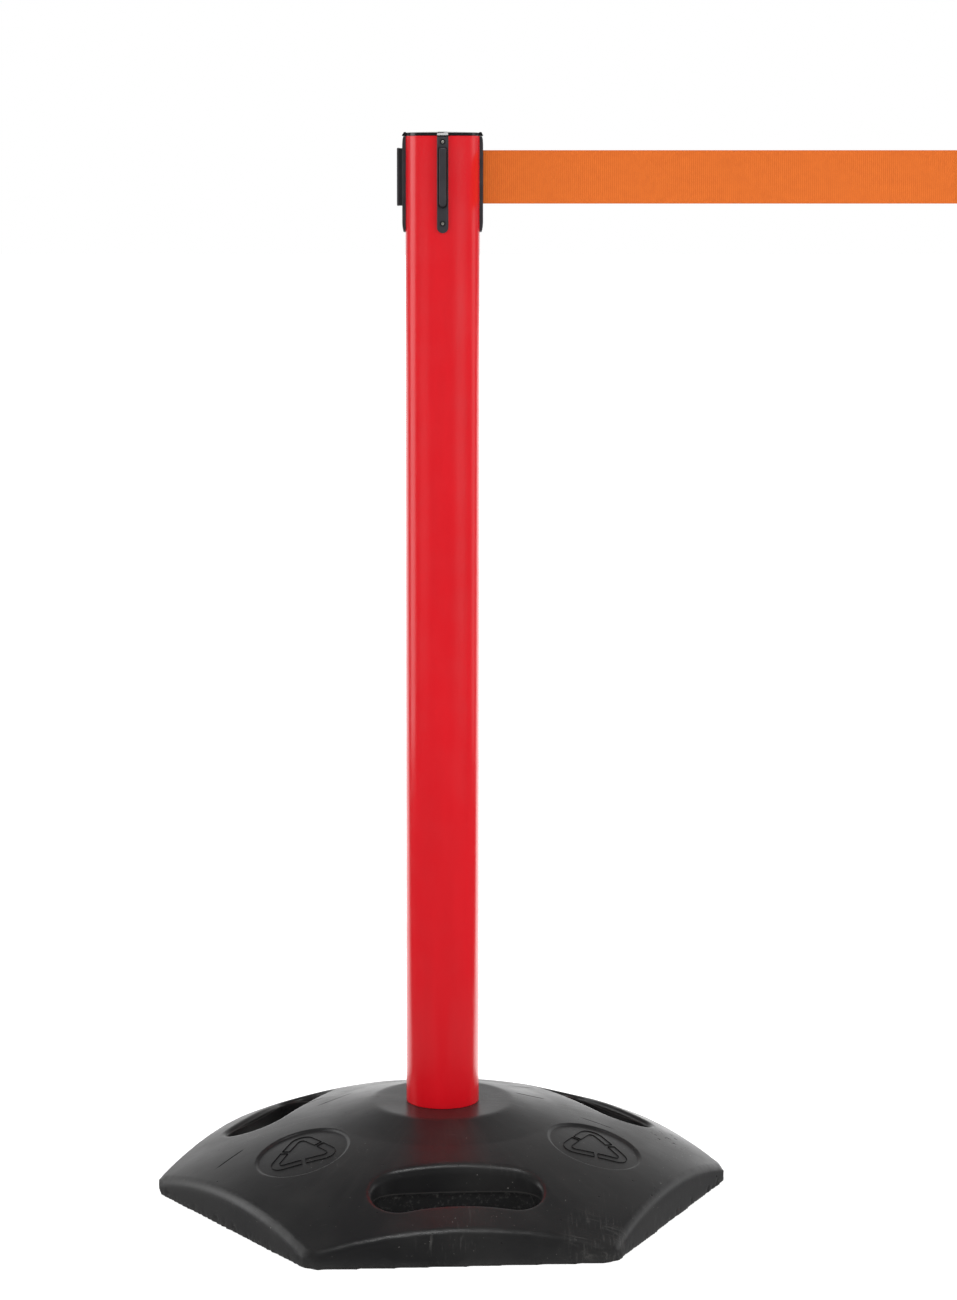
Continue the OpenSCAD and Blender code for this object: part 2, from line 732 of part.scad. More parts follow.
module loop_pin() color(steel_c)
  translate([loop_x, 0, clip_bottom + 2]) cylinder(d = loop_pin_d, h = clip_top - clip_bottom - 2);

// Plan of the clip: square towards the belt, eased corners at its far end
module clip_plan() {
  ease = 2;
  polygon([[clip_x, -clip_w / 2 + 1], [clip_x + 1, -clip_w / 2],
           [clip_far - ease, -clip_w / 2], [clip_far, -clip_w / 2 + ease],
           [clip_far, clip_w / 2 - ease], [clip_far - ease, clip_w / 2],
           [clip_x + 1, clip_w / 2], [clip_x, clip_w / 2 - 1]]);
}

// Clip: pocket for the belt's loop at one end, channel for a T rail at the other
module clip_body() color(black_c) difference() {
  translate([0, 0, clip_bottom]) linear_extrude(clip_top - clip_bottom) clip_plan();
  translate([loop_x, 0, clip_bottom + 2]) cylinder(r = pocket_r, h = clip_top);
  translate([clip_x - eps, -belt_t / 2 - 0.25, clip_bottom + 2])
    cube([loop_x - clip_x, belt_t + 0.5, clip_top]);
  translate([clip_far - channel_lip_t - channel_head_t, -channel_w / 2, clip_bottom - eps])
    cube([channel_head_t, channel_w, clip_top]);
  translate([clip_far - channel_lip_t - eps, -channel_neck_w / 2, clip_bottom - eps])
    cube([channel_lip_t + 2 * eps, channel_neck_w, clip_top]);
}

// Cap over the pin and the channel: the stop that rests on a rail's top
module clip_cap() color(black_c)
  translate([0, 0, clip_top]) linear_extrude(clip_cap_t) clip_plan();

rubber_base();
base_washer();
lock_washer();
base_bolt();
foot_plug();
plug_nut();
post_tube();
head_cap();
receiver_front();
receiver_left();
receiver_back();
belt_mouth();
receiver_screws();
cassette_cup();
cassette_lid();
spindle();
spindle_clip();
lower_bush();
upper_bush();
spool_hub();
spool_flange();
power_spring();
belt_roll();
belt();
clip_body();
clip_cap();
loop_pin();
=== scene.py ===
"""Looks of a retractable-belt barrier post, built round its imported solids.

All sizes are in metres. +Z is up, the front faces -Y and the belt runs out along +X.
Each sub-assembly is a class that shapes its pieces and dresses them in a finish.
"""
import logging
import math
from dataclasses import dataclass
from enum import Enum
from typing import Any, Callable, Iterable, Optional, Sequence

import bmesh
import bpy
import numpy as np
from mathutils import Matrix, Vector, noise


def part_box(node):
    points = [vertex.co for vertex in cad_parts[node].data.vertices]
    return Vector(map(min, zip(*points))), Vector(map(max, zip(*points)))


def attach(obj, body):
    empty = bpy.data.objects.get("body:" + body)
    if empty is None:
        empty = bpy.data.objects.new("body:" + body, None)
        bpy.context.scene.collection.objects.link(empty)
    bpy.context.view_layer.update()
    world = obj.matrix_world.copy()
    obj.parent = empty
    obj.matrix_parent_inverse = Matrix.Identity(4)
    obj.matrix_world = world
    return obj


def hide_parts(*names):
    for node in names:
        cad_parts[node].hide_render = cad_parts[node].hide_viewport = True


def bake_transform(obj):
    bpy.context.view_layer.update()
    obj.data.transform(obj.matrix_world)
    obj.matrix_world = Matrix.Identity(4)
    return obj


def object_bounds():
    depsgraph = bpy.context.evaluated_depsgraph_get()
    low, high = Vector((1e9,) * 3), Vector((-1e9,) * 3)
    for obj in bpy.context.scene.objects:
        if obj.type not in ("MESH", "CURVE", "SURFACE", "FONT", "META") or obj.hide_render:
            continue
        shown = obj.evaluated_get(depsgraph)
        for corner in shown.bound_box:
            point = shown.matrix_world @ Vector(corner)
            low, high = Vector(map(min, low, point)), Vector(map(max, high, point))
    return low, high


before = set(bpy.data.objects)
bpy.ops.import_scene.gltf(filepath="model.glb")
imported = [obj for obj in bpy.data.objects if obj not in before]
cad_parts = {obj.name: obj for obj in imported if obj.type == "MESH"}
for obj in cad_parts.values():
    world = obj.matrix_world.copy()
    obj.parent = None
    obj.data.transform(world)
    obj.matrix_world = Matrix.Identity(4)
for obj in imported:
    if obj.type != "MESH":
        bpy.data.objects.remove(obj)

CAD_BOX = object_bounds()
LOG = logging.getLogger("barrier_post")
MM = 0.001
WELD = 1e-6  # corners of one solid this near to each other are one
ON_PLANE = 1e-7  # corners this near to a cutting plane lie on it
THIRD = 120  # degrees from one of the base's slots or panels to the next
PLASTIC_IOR = 1.5
WHITE = (1.0, 1.0, 1.0, 1.0)
Colour = tuple[float, float, float]
Range = tuple[float, float]
Spot = tuple[float, float]
Socket = bpy.types.NodeSocket


class Body(Enum):
    """The bodies of the frame that new pieces ride on."""

    POST = "post"
    BELT_END = "belt_end"


class Slot(Enum):
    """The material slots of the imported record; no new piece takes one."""

    RUBBER = "base_rubber"
    RED = "red_tube"
    GLOSS_BLACK = "gloss_black"
    GREY = "grey_moulding"
    BLACK = "black_moulding"
    SCREW = "screw_steel"
    BELT = "belt_webbing"


class Side(Enum):
    """The sides of the post, as turns about Z in degrees."""

    RIGHT = 0
    BACK = 90
    LEFT = 180
    FRONT = -90


class Axis(Enum):
    """The axes that a prism is extruded along."""

    X = "x"
    Z = "z"


# ------------------------------------------------------------------ node trees


class Nodes:
    """A node tree under construction."""

    def __init__(self, tree: bpy.types.NodeTree) -> None:
        """Take over a tree and empty it."""
        self.tree = tree
        tree.nodes.clear()

    def add(self, kind: str, **settings: Any) -> bpy.types.Node:
        """Add a node.

        Args:
            kind: Its type.
            settings: Its properties.

        Returns:
            The node.
        """
        node = self.tree.nodes.new(kind)
        for key, value in settings.items():
            setattr(node, key, value)
        return node

    def feed(self, socket: Socket, value: Any) -> None:
        """Link a socket to another, or set it.

        Args:
            socket: The input to fill.
            value: The output to link it to, or what to set it to.
        """
        if isinstance(value, Socket):
            self.tree.links.new(value, socket)
        else:
            socket.default_value = value

    def math(self, operation: str, a: Any, b: Any = 0.0) -> Socket:
        """Combine two values.

        Args:
            operation: What the Math node does with them.
            a: The first value.
            b: The second value.

        Returns:
            The result.
        """
        node = self.add("ShaderNodeMath", operation=operation)
        self.feed(node.inputs[0], a)
        self.feed(node.inputs[1], b)
        return node.outputs["Value"]

    def times(self, a: Any, b: Any) -> Socket:
        """Multiply two values."""
        return self.math("MULTIPLY", a, b)

    def minus(self, a: Any, b: Any) -> Socket:
        """Take one value from another."""
        return self.math("SUBTRACT", a, b)

    def most(self, a: Any, b: Any) -> Socket:
        """Give the larger of two values."""
        return self.math("MAXIMUM", a, b)

    def size(self, value: Any) -> Socket:
        """Give a value without its sign."""
        return self.math("ABSOLUTE", value)

    def vector(self, operation: str, *terms: Any) -> bpy.types.Node:
        """Combine vectors.

        Args:
            operation: What the Vector Math node does with them.
            terms: The vectors, in order.

        Returns:
            The node, with a vector as its first output and a value as its second.
        """
        node = self.add("ShaderNodeVectorMath", operation=operation)
        for socket, term in zip(node.inputs, terms):
            self.feed(socket, term)
        return node

    def reach(self, vector: Socket) -> Socket:
        """Give a vector's length."""
        return self.vector("LENGTH", vector).outputs["Value"]

    def parts(self, vector: Socket) -> bpy.types.NodeOutputs:
        """Split a vector.

        Args:
            vector: The vector.

        Returns:
            Its parts, named X, Y and Z.
        """
        node = self.add("ShaderNodeSeparateXYZ")
        self.feed(node.inputs[0], vector)
        return node.outputs

    def span(
        self, value: Socket, low: float, high: float, to_low: float = 0.0, to_high: float = 1.0
    ) -> Socket:
        """Map one range of a value to another, smoothly and clamped.

        Args:
            value: The value.
            low: Where its range starts.
            high: Where its range ends, which may be below low.
            to_low: What low becomes.
            to_high: What high becomes.

        Returns:
            The mapped value.
        """
        node = self.add("ShaderNodeMapRange", interpolation_type="SMOOTHSTEP")
        self.feed(node.inputs["Value"], value)
        names = ("From Min", "From Max", "To Min", "To Max")
        for name, number in zip(names, (low, high, to_low, to_high)):
            node.inputs[name].default_value = number
        return node.outputs["Result"]


class Graph(Nodes):
    """A material under construction, with a Principled shader at its end."""

    def __init__(self, name: str) -> None:
        """Start an empty material.

        Args:
            name: The material's name.
        """
        self.material = bpy.data.materials.new(name)
        self.material.use_nodes = True
        super().__init__(self.material.node_tree)
        output = self.add("ShaderNodeOutputMaterial")
        self.shader = self.add("ShaderNodeBsdfPrincipled")
        self.feed(output.inputs["Surface"], self.shader.outputs["BSDF"])
        self.place = self.add("ShaderNodeTexCoord").outputs["Object"]

    def set(self, **values: Any) -> None:
        """Set or link inputs of the shader, named with underscores for spaces."""
        for key, value in values.items():
            self.feed(self.shader.inputs[key.replace("_", " ")], value)

    def scaled(self, scale: Sequence[float], turn: float = 0.0) -> Socket:
        """Stretch the object's coordinates.

        Args:
            scale: Factors along X, Y and Z.
            turn: Turn about Z, in radians.

        Returns:
            The stretched coordinates.
        """
        mapping = self.add("ShaderNodeMapping")
        self.feed(mapping.inputs["Vector"], self.place)
        self.feed(mapping.inputs["Scale"], scale)
        self.feed(mapping.inputs["Rotation"], (0.0, 0.0, turn))
        return mapping.outputs["Vector"]

    def noise(
        self, scale: float, detail: float = 2.0, rough: float = 0.5, at: Optional[Socket] = None
    ) -> Socket:
        """Make a noise.

        Args:
            scale: Cells per metre.
            detail: Octaves.
            rough: Weight of the finer octaves.
            at: Coordinates, or None for the object's own.

        Returns:
            Its value.
        """
        node = self.add("ShaderNodeTexNoise")
        self.feed(node.inputs["Vector"], at or self.place)
        self.feed(node.inputs["Scale"], scale)
        self.feed(node.inputs["Detail"], detail)
        self.feed(node.inputs["Roughness"], rough)
        return node.outputs["Fac"]

    def bands(self, axis: str, pitch: float) -> Socket:
        """Make bands across an axis.

        At a scale of one, a Wave node's band is a tenth of pi metres wide.

        Args:
            axis: X, Y or Z.
            pitch: Metres from one band to the next.

        Returns:
            A value that rises and falls once in each band.
        """
        node = self.add("ShaderNodeTexWave", wave_type="BANDS", bands_direction=axis)
        self.feed(node.inputs["Vector"], self.place)
        self.feed(node.inputs["Scale"], math.pi / 10 / pitch)
        return node.outputs["Fac"]

    def level_way(self, x: float = 0.0, y: float = 0.0) -> Socket:
        """Give the level way from an upright axis at x and y to each point."""
        way = self.vector("SUBTRACT", self.place, (x, y, 0.0)).outputs[0]
        return self.vector("MULTIPLY", way, (1.0, 1.0, 0.0)).outputs[0]

    def radial(self, across: float, along: float) -> Socket:
        """Make coordinates for rays that run away from the upright axis.

        Args:
            across: How fast they change from one bearing to the next.
            along: How fast they change away from the axis.

        Returns:
            The coordinates.
        """
        flat = self.level_way()
        bearing = self.vector("NORMALIZE", flat).outputs[0]
        spread = self.vector("MULTIPLY", bearing, (across, across, across))
        far = self.add("ShaderNodeCombineXYZ")
        self.feed(far.inputs["Z"], self.times(self.reach(flat), along))
        return self.vector("ADD", spread.outputs[0], far.outputs[0]).outputs[0]

    def stroke(self, start: Spot, end: Spot, half: float) -> Socket:
        """Mark a thin straight line seen from above, faded towards its ends and sides.

        Args:
            start: X and Y of one end.
            end: X and Y of the other.
            half: Half its width.

        Returns:
            One on the line and zero off it.
        """
        middle = [(a + b) / 2 for a, b in zip(start, end)]
        turn = math.atan2(end[1] - start[1], end[0] - start[0])
        mapping = self.add("ShaderNodeMapping", vector_type="TEXTURE")
        self.feed(mapping.inputs["Vector"], self.place)
        self.feed(mapping.inputs["Location"], (*middle, 0.0))
        self.feed(mapping.inputs["Rotation"], (0.0, 0.0, turn))
        self.feed(mapping.inputs["Scale"], (math.dist(start, end) / 2, half, 1.0))
        part = self.parts(mapping.outputs[0])
        along = self.span(self.size(part["X"]), 0.5, 1.0, 1.0, 0.0)
        across = self.span(self.size(part["Y"]), 0.3, 1.0, 1.0, 0.0)
        return self.times(along, across)

    def around(self, x: float, y: float, inner: float, outer: float) -> Socket:
        """Mark a round patch seen from above, one up to the inner radius, zero past the outer."""
        return self.span(self.reach(self.level_way(x, y)), inner, outer, 1.0, 0.0)

    def mix(self, factor: Any, a: Any, b: Any) -> Socket:
        """Mix two colours.

        Args:
            factor: The share of the second colour.
            a: The first colour.
            b: The second colour.

        Returns:
            The mixed colour.
        """
        node = self.add("ShaderNodeMix", data_type="RGBA")
        self.feed(node.inputs["Factor"], factor)
        for socket, value in zip(node.inputs[6:8], (a, b)):
            self.feed(socket, value if isinstance(value, Socket) else (*value, 1.0))
        return node.outputs[2]

    def bump(
        self, height: Any, strength: float, depth: float, under: Optional[Socket] = None
    ) -> Socket:
        """Tilt the surface by a height.

        Args:
            height: The height, where one stands for depth.
            strength: How much of the tilt shows.
            depth: The height of one, in metres.
            under: The tilt that it adds to, or None.

        Returns:
            The tilted normal.
        """
        node = self.add("ShaderNodeBump")
        self.feed(node.inputs["Strength"], strength)
        self.feed(node.inputs["Distance"], depth)
        self.feed(node.inputs["Height"], height)
        if under is not None:
            self.feed(node.inputs["Normal"], under)
        return node.outputs["Normal"]

    def attribute(self, name: str) -> Socket:
        """Give the value of a mesh attribute."""
        return self.add("ShaderNodeAttribute", attribute_name=name).outputs["Fac"]


# -------------------------------------------------------------------- finishes


@dataclass(frozen=True)
class RubberFinish:
    """Moulded recycled rubber: satin, scuffed, with cuts, pits and pale flecks; the cuts, pits and
    the slots' rough lower walls carry painted shade.

    A range on a noise says where a mark starts to show and where it is full, and a share
    how strongly it shows. The rubbed corner and the pocked patch are round: X, Y, and the
    radii at which they start and stop fading.
    """

    dark: Colour = (0.0115, 0.0115, 0.0122)
    grey: Colour = (0.021, 0.0206, 0.0204)
    scuff: Colour = (0.085, 0.082, 0.078)
    fleck: Colour = (0.32, 0.31, 0.29)
    # Near black for cuts and pits: painted shade inside them.
    gash_shade: Colour = (0.004, 0.004, 0.004)
    sheen_rough: Range = (0.29, 0.42)
    worn_rough: float = 0.60
    cast_rough: float = 0.85
    cut_rough: float = 0.8
    shine: Range = (0.5, 0.05)
    cloud: Range = (0.35, 0.7)
    sheen_cloud: Range = (0.3, 0.75)
    streak_patch: Range = (0.52, 0.72)
    streak: Range = (0.55, 0.75)
    cross_patch: Range = (0.60, 0.5)
    cross: Range = (0.64, 0.78)
    cross_share: float = 0.7
    wiped_patch: Range = (0.36, 0.52)
    wiped_ray: Range = (0.48, 0.62)
    wiped_z: Range = (34 * MM, 50 * MM)
    wiped_y: Range = (-60 * MM, 40 * MM)
    wiped_share: Range = (0.10, 0.55)
    rubbed_streak: Range = (0.52, 0.66)
    rubbed_cross: Range = (0.54, 0.68)
    rubbed_grain: Range = (0.3, 0.6)
    rubbed_corner: tuple[float, float, float, float] = (145 * MM, -221 * MM, 16 * MM, 50 * MM)
    edge_grain: Range = (0.35, 0.75)
    worn_share: float = 0.55
    pit: Range = (0.72, 0.80)
    pock: Range = (0.60, 0.66)
    pocked_patch: tuple[float, float, float, float] = (213 * MM, 22 * MM, 8 * MM, 44 * MM)
    speck: Range = (0.77, 0.80)
    speck_patch: Range = (0.45, 0.62)
    # How far the slots' rough lower walls are darkened: painted shade deep in the slots.
    cast_shade_share: float = 0.75
    torn: Range = (0.53, 0.66)
    torn_share: float = 0.5
    ledge_z: float = 40.3 * MM
    ledge_line: Range = (0.3 * MM, 0.8 * MM)
    ledge_share: float = 0.5
    grain_depth: float = 0.25 * MM
    swell_depth: float = 0.6 * MM
    stroke_share: float = 0.9
    strokes: tuple[tuple[Spot, Spot, float], ...] = (
        ((-218 * MM, -72 * MM), (-186 * MM, -44 * MM), 1.7 * MM),
        ((-152 * MM, 40 * MM), (-112 * MM, 66 * MM), 1.2 * MM),
        ((-128 * MM, 22 * MM), (-84 * MM, 60 * MM), 1.0 * MM),
        ((66 * MM, 30 * MM), (104 * MM, 36 * MM), 2.0 * MM),
        ((128 * MM, -4 * MM), (170 * MM, -16 * MM), 1.2 * MM),
        ((58 * MM, 76 * MM), (96 * MM, 100 * MM), 1.4 * MM),
    )

    def build(self) -> bpy.types.Material:
        """Make the material.

        Returns:
            The material.
        """
        g = Graph("base_rubber_skin")
        cloud = g.noise(9.0, detail=5.0, rough=0.6)
        grain = g.noise(900.0, detail=3.0, rough=0.6)
        patch = g.noise(14.0, detail=3.0, rough=0.6)
        pits = g.span(g.noise(160.0), *self.pit)
        worn, cut = self.wear(g, grain, patch), self.cuts(g)
        g.set(Base_Color=self.colour(g, cloud, patch, worn, cut))
        g.set(Roughness=self.roughness(g, cloud, worn, cut))
        g.set(Normal=self.relief(g, grain, pits, worn, cut))
        shine = g.span(g.most(cut, pits), 0.0, 1.0, *self.shine)
        g.set(IOR=PLASTIC_IOR, Specular_IOR_Level=shine)
        return g.material

    def wear(self, g: Graph, grain: Socket, patch: Socket) -> Socket:
        """Mark where the skin is scuffed.

        Args:
            g: The material.
            grain: Its fine noise.
            patch: Its noise of hand-sized patches.

        Returns:
            One where it is worn, zero where it isn't.
        """
        streak = g.noise(1.0, 6.0, 0.65, g.scaled((420.0, 30.0, 60.0), 0.35))
        cross = g.noise(1.0, 5.0, 0.6, g.scaled((36.0, 480.0, 60.0), -0.2))
        worn = g.times(g.span(patch, *self.streak_patch), g.span(streak, *self.streak))
        crossed = g.span(patch, *self.cross_patch, 0.0, self.cross_share)
        worn = g.most(worn, g.times(crossed, g.span(cross, *self.cross)))
        worn = g.most(worn, self.wiped(g, patch))
        rub = g.most(g.span(streak, *self.rubbed_streak), g.span(cross, *self.rubbed_cross))
        rub = g.times(rub, g.around(*self.rubbed_corner))
        worn = g.most(worn, g.times(rub, g.span(grain, *self.rubbed_grain)))
        edge = g.times(g.attribute("worn"), g.span(grain, *self.edge_grain))
        return g.most(worn, edge)

    def wiped(self, g: Graph, patch: Socket) -> Socket:
        """Mark the faint rays that wiping has left on the dome, mostly at its back.

        Args:
            g: The material.
            patch: Its noise of hand-sized patches.

        Returns:
            How strongly the rays show.
        """
        rays = g.noise(1.0, 6.0, 0.7, g.radial(26.0, 9.0))
        spot = g.parts(g.place)
        dome = g.times(g.span(patch, *self.wiped_patch), g.span(spot["Z"], *self.wiped_z))
        dome = g.times(dome, g.span(spot["Y"], *self.wiped_y, *self.wiped_share))
        dome = g.times(dome, g.attribute("upper"))
        return g.times(dome, g.span(rays, *self.wiped_ray))

    def cuts(self, g: Graph) -> Socket:
        """Mark the cuts and the pocked patch on the dome, which are painted near black as painted
        shade inside them.

        Args:
            g: The material.

        Returns:
            One where the skin is cut, zero where it isn't.
        """
        cut = 0.0
        for start, end, half in self.strokes:
            cut = g.most(g.times(g.stroke(start, end, half), self.stroke_share), cut)
        pocks = g.span(g.noise(150.0, detail=3.0, rough=0.6), *self.pock)
        pocks = g.times(pocks, g.around(*self.pocked_patch))
        return g.times(g.most(cut, pocks), g.attribute("upper"))

    def colour(self, g: Graph, cloud: Socket, patch: Socket, worn: Socket, cut: Socket) -> Socket:
        """Colour the skin: clouded, paler where worn, with painted shade in cuts and pits and on
        the slots' rough lower walls.

        Args:
            g: The material.
            cloud: Its broad noise.
            patch: Its noise of hand-sized patches.
            worn: Where it is scuffed.
            cut: Where it is cut.

        Returns:
            The colour.
        """
        colour = g.mix(g.span(cloud, *self.cloud), self.dark, self.grey)
        colour = g.mix(g.times(worn, self.worn_share), colour, self.scuff)
        specks = g.span(g.noise(520.0, detail=1.0, rough=0.4), *self.speck)
        colour = g.mix(g.times(specks, g.span(patch, *self.speck_patch)), colour, self.fleck)
        # Cuts and pits are painted near black: painted shade inside them.
        colour = g.mix(cut, colour, self.gash_shade)
        cast = g.attribute("cast")
        # The rough lower walls are darkened towards the darkest tone: painted shade deep in the
        # slots.
        colour = g.mix(g.times(cast, self.cast_shade_share), colour, self.dark)
        tear = g.noise(260.0, detail=4.0, rough=0.75)
        torn = g.times(cast, g.span(tear, *self.torn, 0.0, self.torn_share))
        colour = g.mix(torn, colour, self.scuff)
        off = g.size(g.minus(g.parts(g.place)["Z"], self.ledge_z))
        line = g.span(off, *self.ledge_line, self.ledge_share, 0.0)
        return g.mix(g.times(g.attribute("ledge"), line), colour, self.scuff)

    def roughness(self, g: Graph, cloud: Socket, worn: Socket, cut: Socket) -> Socket:
        """Make the skin satin, and dull where it is worn, rough or cut.

        Args:
            g: The material.
            cloud: Its broad noise.
            worn: Where it is scuffed.
            cut: Where it is cut.

        Returns:
            The roughness.
        """
        rough = g.span(cloud, *self.sheen_cloud, *self.sheen_rough)
        rough = g.most(rough, g.times(worn, self.worn_rough))
        rough = g.most(rough, g.times(g.attribute("cast"), self.cast_rough))
        return g.most(rough, g.times(cut, self.cut_rough))

    def relief(self, g: Graph, grain: Socket, pits: Socket, worn: Socket, cut: Socket) -> Socket:
        """Give the skin its grain, pits, scuffs and cuts over a gentle swell.

        Args:
            g: The material.
            grain: Its fine noise.
            pits: Where it has pits.
            worn: Where it is scuffed.
            cut: Where it is cut.

        Returns:
            The normal.
        """
        height = g.minus(g.times(grain, 0.25), pits)
        height = g.minus(height, g.times(worn, 0.6))
        fine = g.bump(g.minus(height, cut), 0.5, self.grain_depth)
        return g.bump(g.noise(45.0, detail=3.0), 0.35, self.swell_depth, fine)


@dataclass(frozen=True)
class PaintFinish:
    """Glossy red powder coat with a faint orange peel."""

    red: Colour = (0.72, 0.0070, 0.0145)
    deep: Colour = (0.60, 0.006, 0.012)
    deep_share: float = 0.35
    rough: Range = (0.17, 0.24)
    peel_depth: float = 0.12 * MM

    def build(self) -> bpy.types.Material:
        """Make the material.

        Returns:
            The material.
        """
        g = Graph("red_powder_coat")
        tone = g.noise(7.0, 3.0, 0.5, g.scaled((6.0, 6.0, 0.8)))
        shade = g.span(tone, 0.3, 0.7, 0.0, self.deep_share)
        g.set(Base_Color=g.mix(shade, self.red, self.deep))
        smear = g.noise(30.0, detail=4.0, rough=0.6)
        g.set(Roughness=g.span(smear, 0.3, 0.75, *self.rough), IOR=PLASTIC_IOR)
        g.set(Normal=g.bump(g.noise(420.0), 0.10, self.peel_depth))
        return g.material


@dataclass(frozen=True)
class MouldedFinish:
    """Moulded plastic with a fine grain."""

    name: str
    colour: Colour
    rough: float
    grain: float = 0.25
    grain_depth: float = 0.05 * MM
    lighter: float = 1.25
    haze: float = 0.002
    rough_less: float = 0.04
    rough_more: float = 0.06

    def build(self) -> bpy.types.Material:
        """Make the material.

        Returns:
            The material.
        """
        g = Graph(self.name)
        tone = g.noise(60.0, detail=3.0)
        light = tuple(self.lighter * c + self.haze for c in self.colour)
        g.set(Base_Color=g.mix(g.span(tone, 0.35, 0.7), self.colour, light))
        fine = g.noise(2200.0)
        rough = self.rough - self.rough_less, self.rough + self.rough_more
        g.set(Roughness=g.span(fine, 0.3, 0.7, *rough), IOR=PLASTIC_IOR)
        g.set(Normal=g.bump(fine, self.grain, self.grain_depth))
        return g.material


@dataclass(frozen=True)
class MetalFinish:
    """Plated or bare steel, faintly brushed or mottled."""

    name: str
    colour: Colour
    rough: float
    brush: tuple[float, float, float] = (400.0, 400.0, 400.0)
    metallic: float = 1.0
    dulled: float = 0.72
    rough_more: float = 0.12
    mottle_depth: float = 0.03 * MM

    def build(self) -> bpy.types.Material:
        """Make the material.

        Returns:
            The material.
        """
        g = Graph(self.name)
        mottle = g.noise(1.0, 3.0, 0.6, g.scaled(self.brush))
        dull = tuple(self.dulled * c for c in self.colour)
        g.set(Base_Color=g.mix(g.span(mottle, 0.35, 0.7), self.colour, dull))
        g.set(Roughness=g.span(mottle, 0.3, 0.75, self.rough, self.rough + self.rough_more))
        g.set(Normal=g.bump(mottle, 0.15, self.mottle_depth), Metallic=self.metallic)
        return g.material


@dataclass(frozen=True)
class WebbingFinish:
    """Ribbed polyester webbing: weft ribs across the belt, warp yarns along it, with painted shade
    in the weave's hollows.
    """

    middle_z: float
    orange: Colour = (0.78, 0.168, 0.020)
    shade: Colour = (0.62, 0.117, 0.013)
    rib: float = 1.9 * MM
    yarn: float = 0.85 * MM
    border: Range = (23.4 * MM, 24.5 * MM)
    border_share: float = 0.55
    # How much darker the weave's hollows are painted: painted shade.
    hollow_shade_share: float = 0.55
    cloud_share: float = 0.22
    weave_depth: float = 0.18 * MM

    def build(self) -> bpy.types.Material:
        """Make the material.

        Returns:
            The material.
        """
        g = Graph("orange_webbing")
        ribs = g.math("ADD", g.bands("X", self.rib), 0.35)
        weave = g.times(ribs, g.math("ADD", g.bands("Z", self.yarn), 0.5))
        fibre = g.noise(1.0, 3.0, 0.6, g.scaled((900.0, 900.0, 5000.0)))
        cloud = g.noise(120.0, detail=4.0, rough=0.7)
        lit = g.math("ADD", weave, g.times(fibre, 0.5))
        # The weave's low parts are painted darker: painted shade in the hollows between ribs and
        # yarns.
        hollow_shade = g.span(lit, 0.3, 1.2, self.hollow_shade_share, 0.0)
        shade = g.math("ADD", hollow_shade, g.span(cloud, 0.35, 0.7, 0.0, self.cloud_share))
        offset = g.size(g.minus(g.parts(g.place)["Z"], self.middle_z))
        border = g.span(offset, *self.border, 0.0, self.border_share)
        g.set(Base_Color=g.mix(g.most(shade, border), self.orange, self.shade))
        g.set(Roughness=0.82, Specular_IOR_Level=0.25)
        g.set(Sheen_Weight=0.15, Sheen_Roughness=0.5)
        height = g.math("ADD", weave, g.times(fibre, 0.3))
        g.set(Normal=g.bump(height, 0.55, self.weave_depth))
        return g.material


@dataclass(frozen=True)
class FloorFinish:
    """A nearly white floor that reflects dark but for a bright fan behind the object."""

    pale: Colour = (0.75, 0.75, 0.75)
    shade: Colour = (0.74, 0.74, 0.74)
    dim: Colour = (0.01, 0.01, 0.01)
    glow: float = 0.72
    fan_centre: tuple[float, float, float] = (0.0, 0.23, 0.0)
    fan: Range = (0.66, 0.80)
    fan_start: Range = (0.05, 0.22)
    fan_shine: Range = (1.3, 2.3)
    wing: Range = (0.45, 0.9)
    wing_reach: Range = (0.4, 0.6)
    wing_shine: Range = (0.10, 0.35)

    def build(self) -> bpy.types.Material:
        """Make the material.

        Returns:
            The material.
        """
        g = Graph("pale_floor")
        ray = g.add("ShaderNodeLightPath").outputs
        pale = g.mix(g.span(g.noise(0.8), 0.3, 0.7), self.pale, self.shade)
        way = g.vector("ADD", g.place, self.fan_centre).outputs[0]
        bearing = g.parts(g.vector("NORMALIZE", way).outputs[0])
        past = g.span(g.parts(g.place)["Y"], *self.fan_start)
        fan = g.times(g.span(bearing["Y"], *self.fan), past)
        near = g.span(g.reach(g.place), *self.wing_reach, 1.0, 0.0)
        wing = g.times(g.span(g.size(bearing["X"]), *self.wing), near)
        dimmed = g.times(ray["Is Glossy Ray"], g.minus(1.0, fan))
        g.set(Base_Color=g.mix(dimmed, pale, self.dim))
        g.set(Roughness=0.9, Specular_IOR_Level=0.0)
        bright = g.times(fan, g.span(bearing["X"], -0.3, 0.3, *self.fan_shine))
        shine = g.most(bright, g.span(wing, 0.0, 1.0, *self.wing_shine))
        seen = g.most(ray["Is Camera Ray"], g.times(ray["Is Glossy Ray"], shine))
        g.set(Emission_Color=WHITE, Emission_Strength=g.times(seen, self.glow))
        return g.material


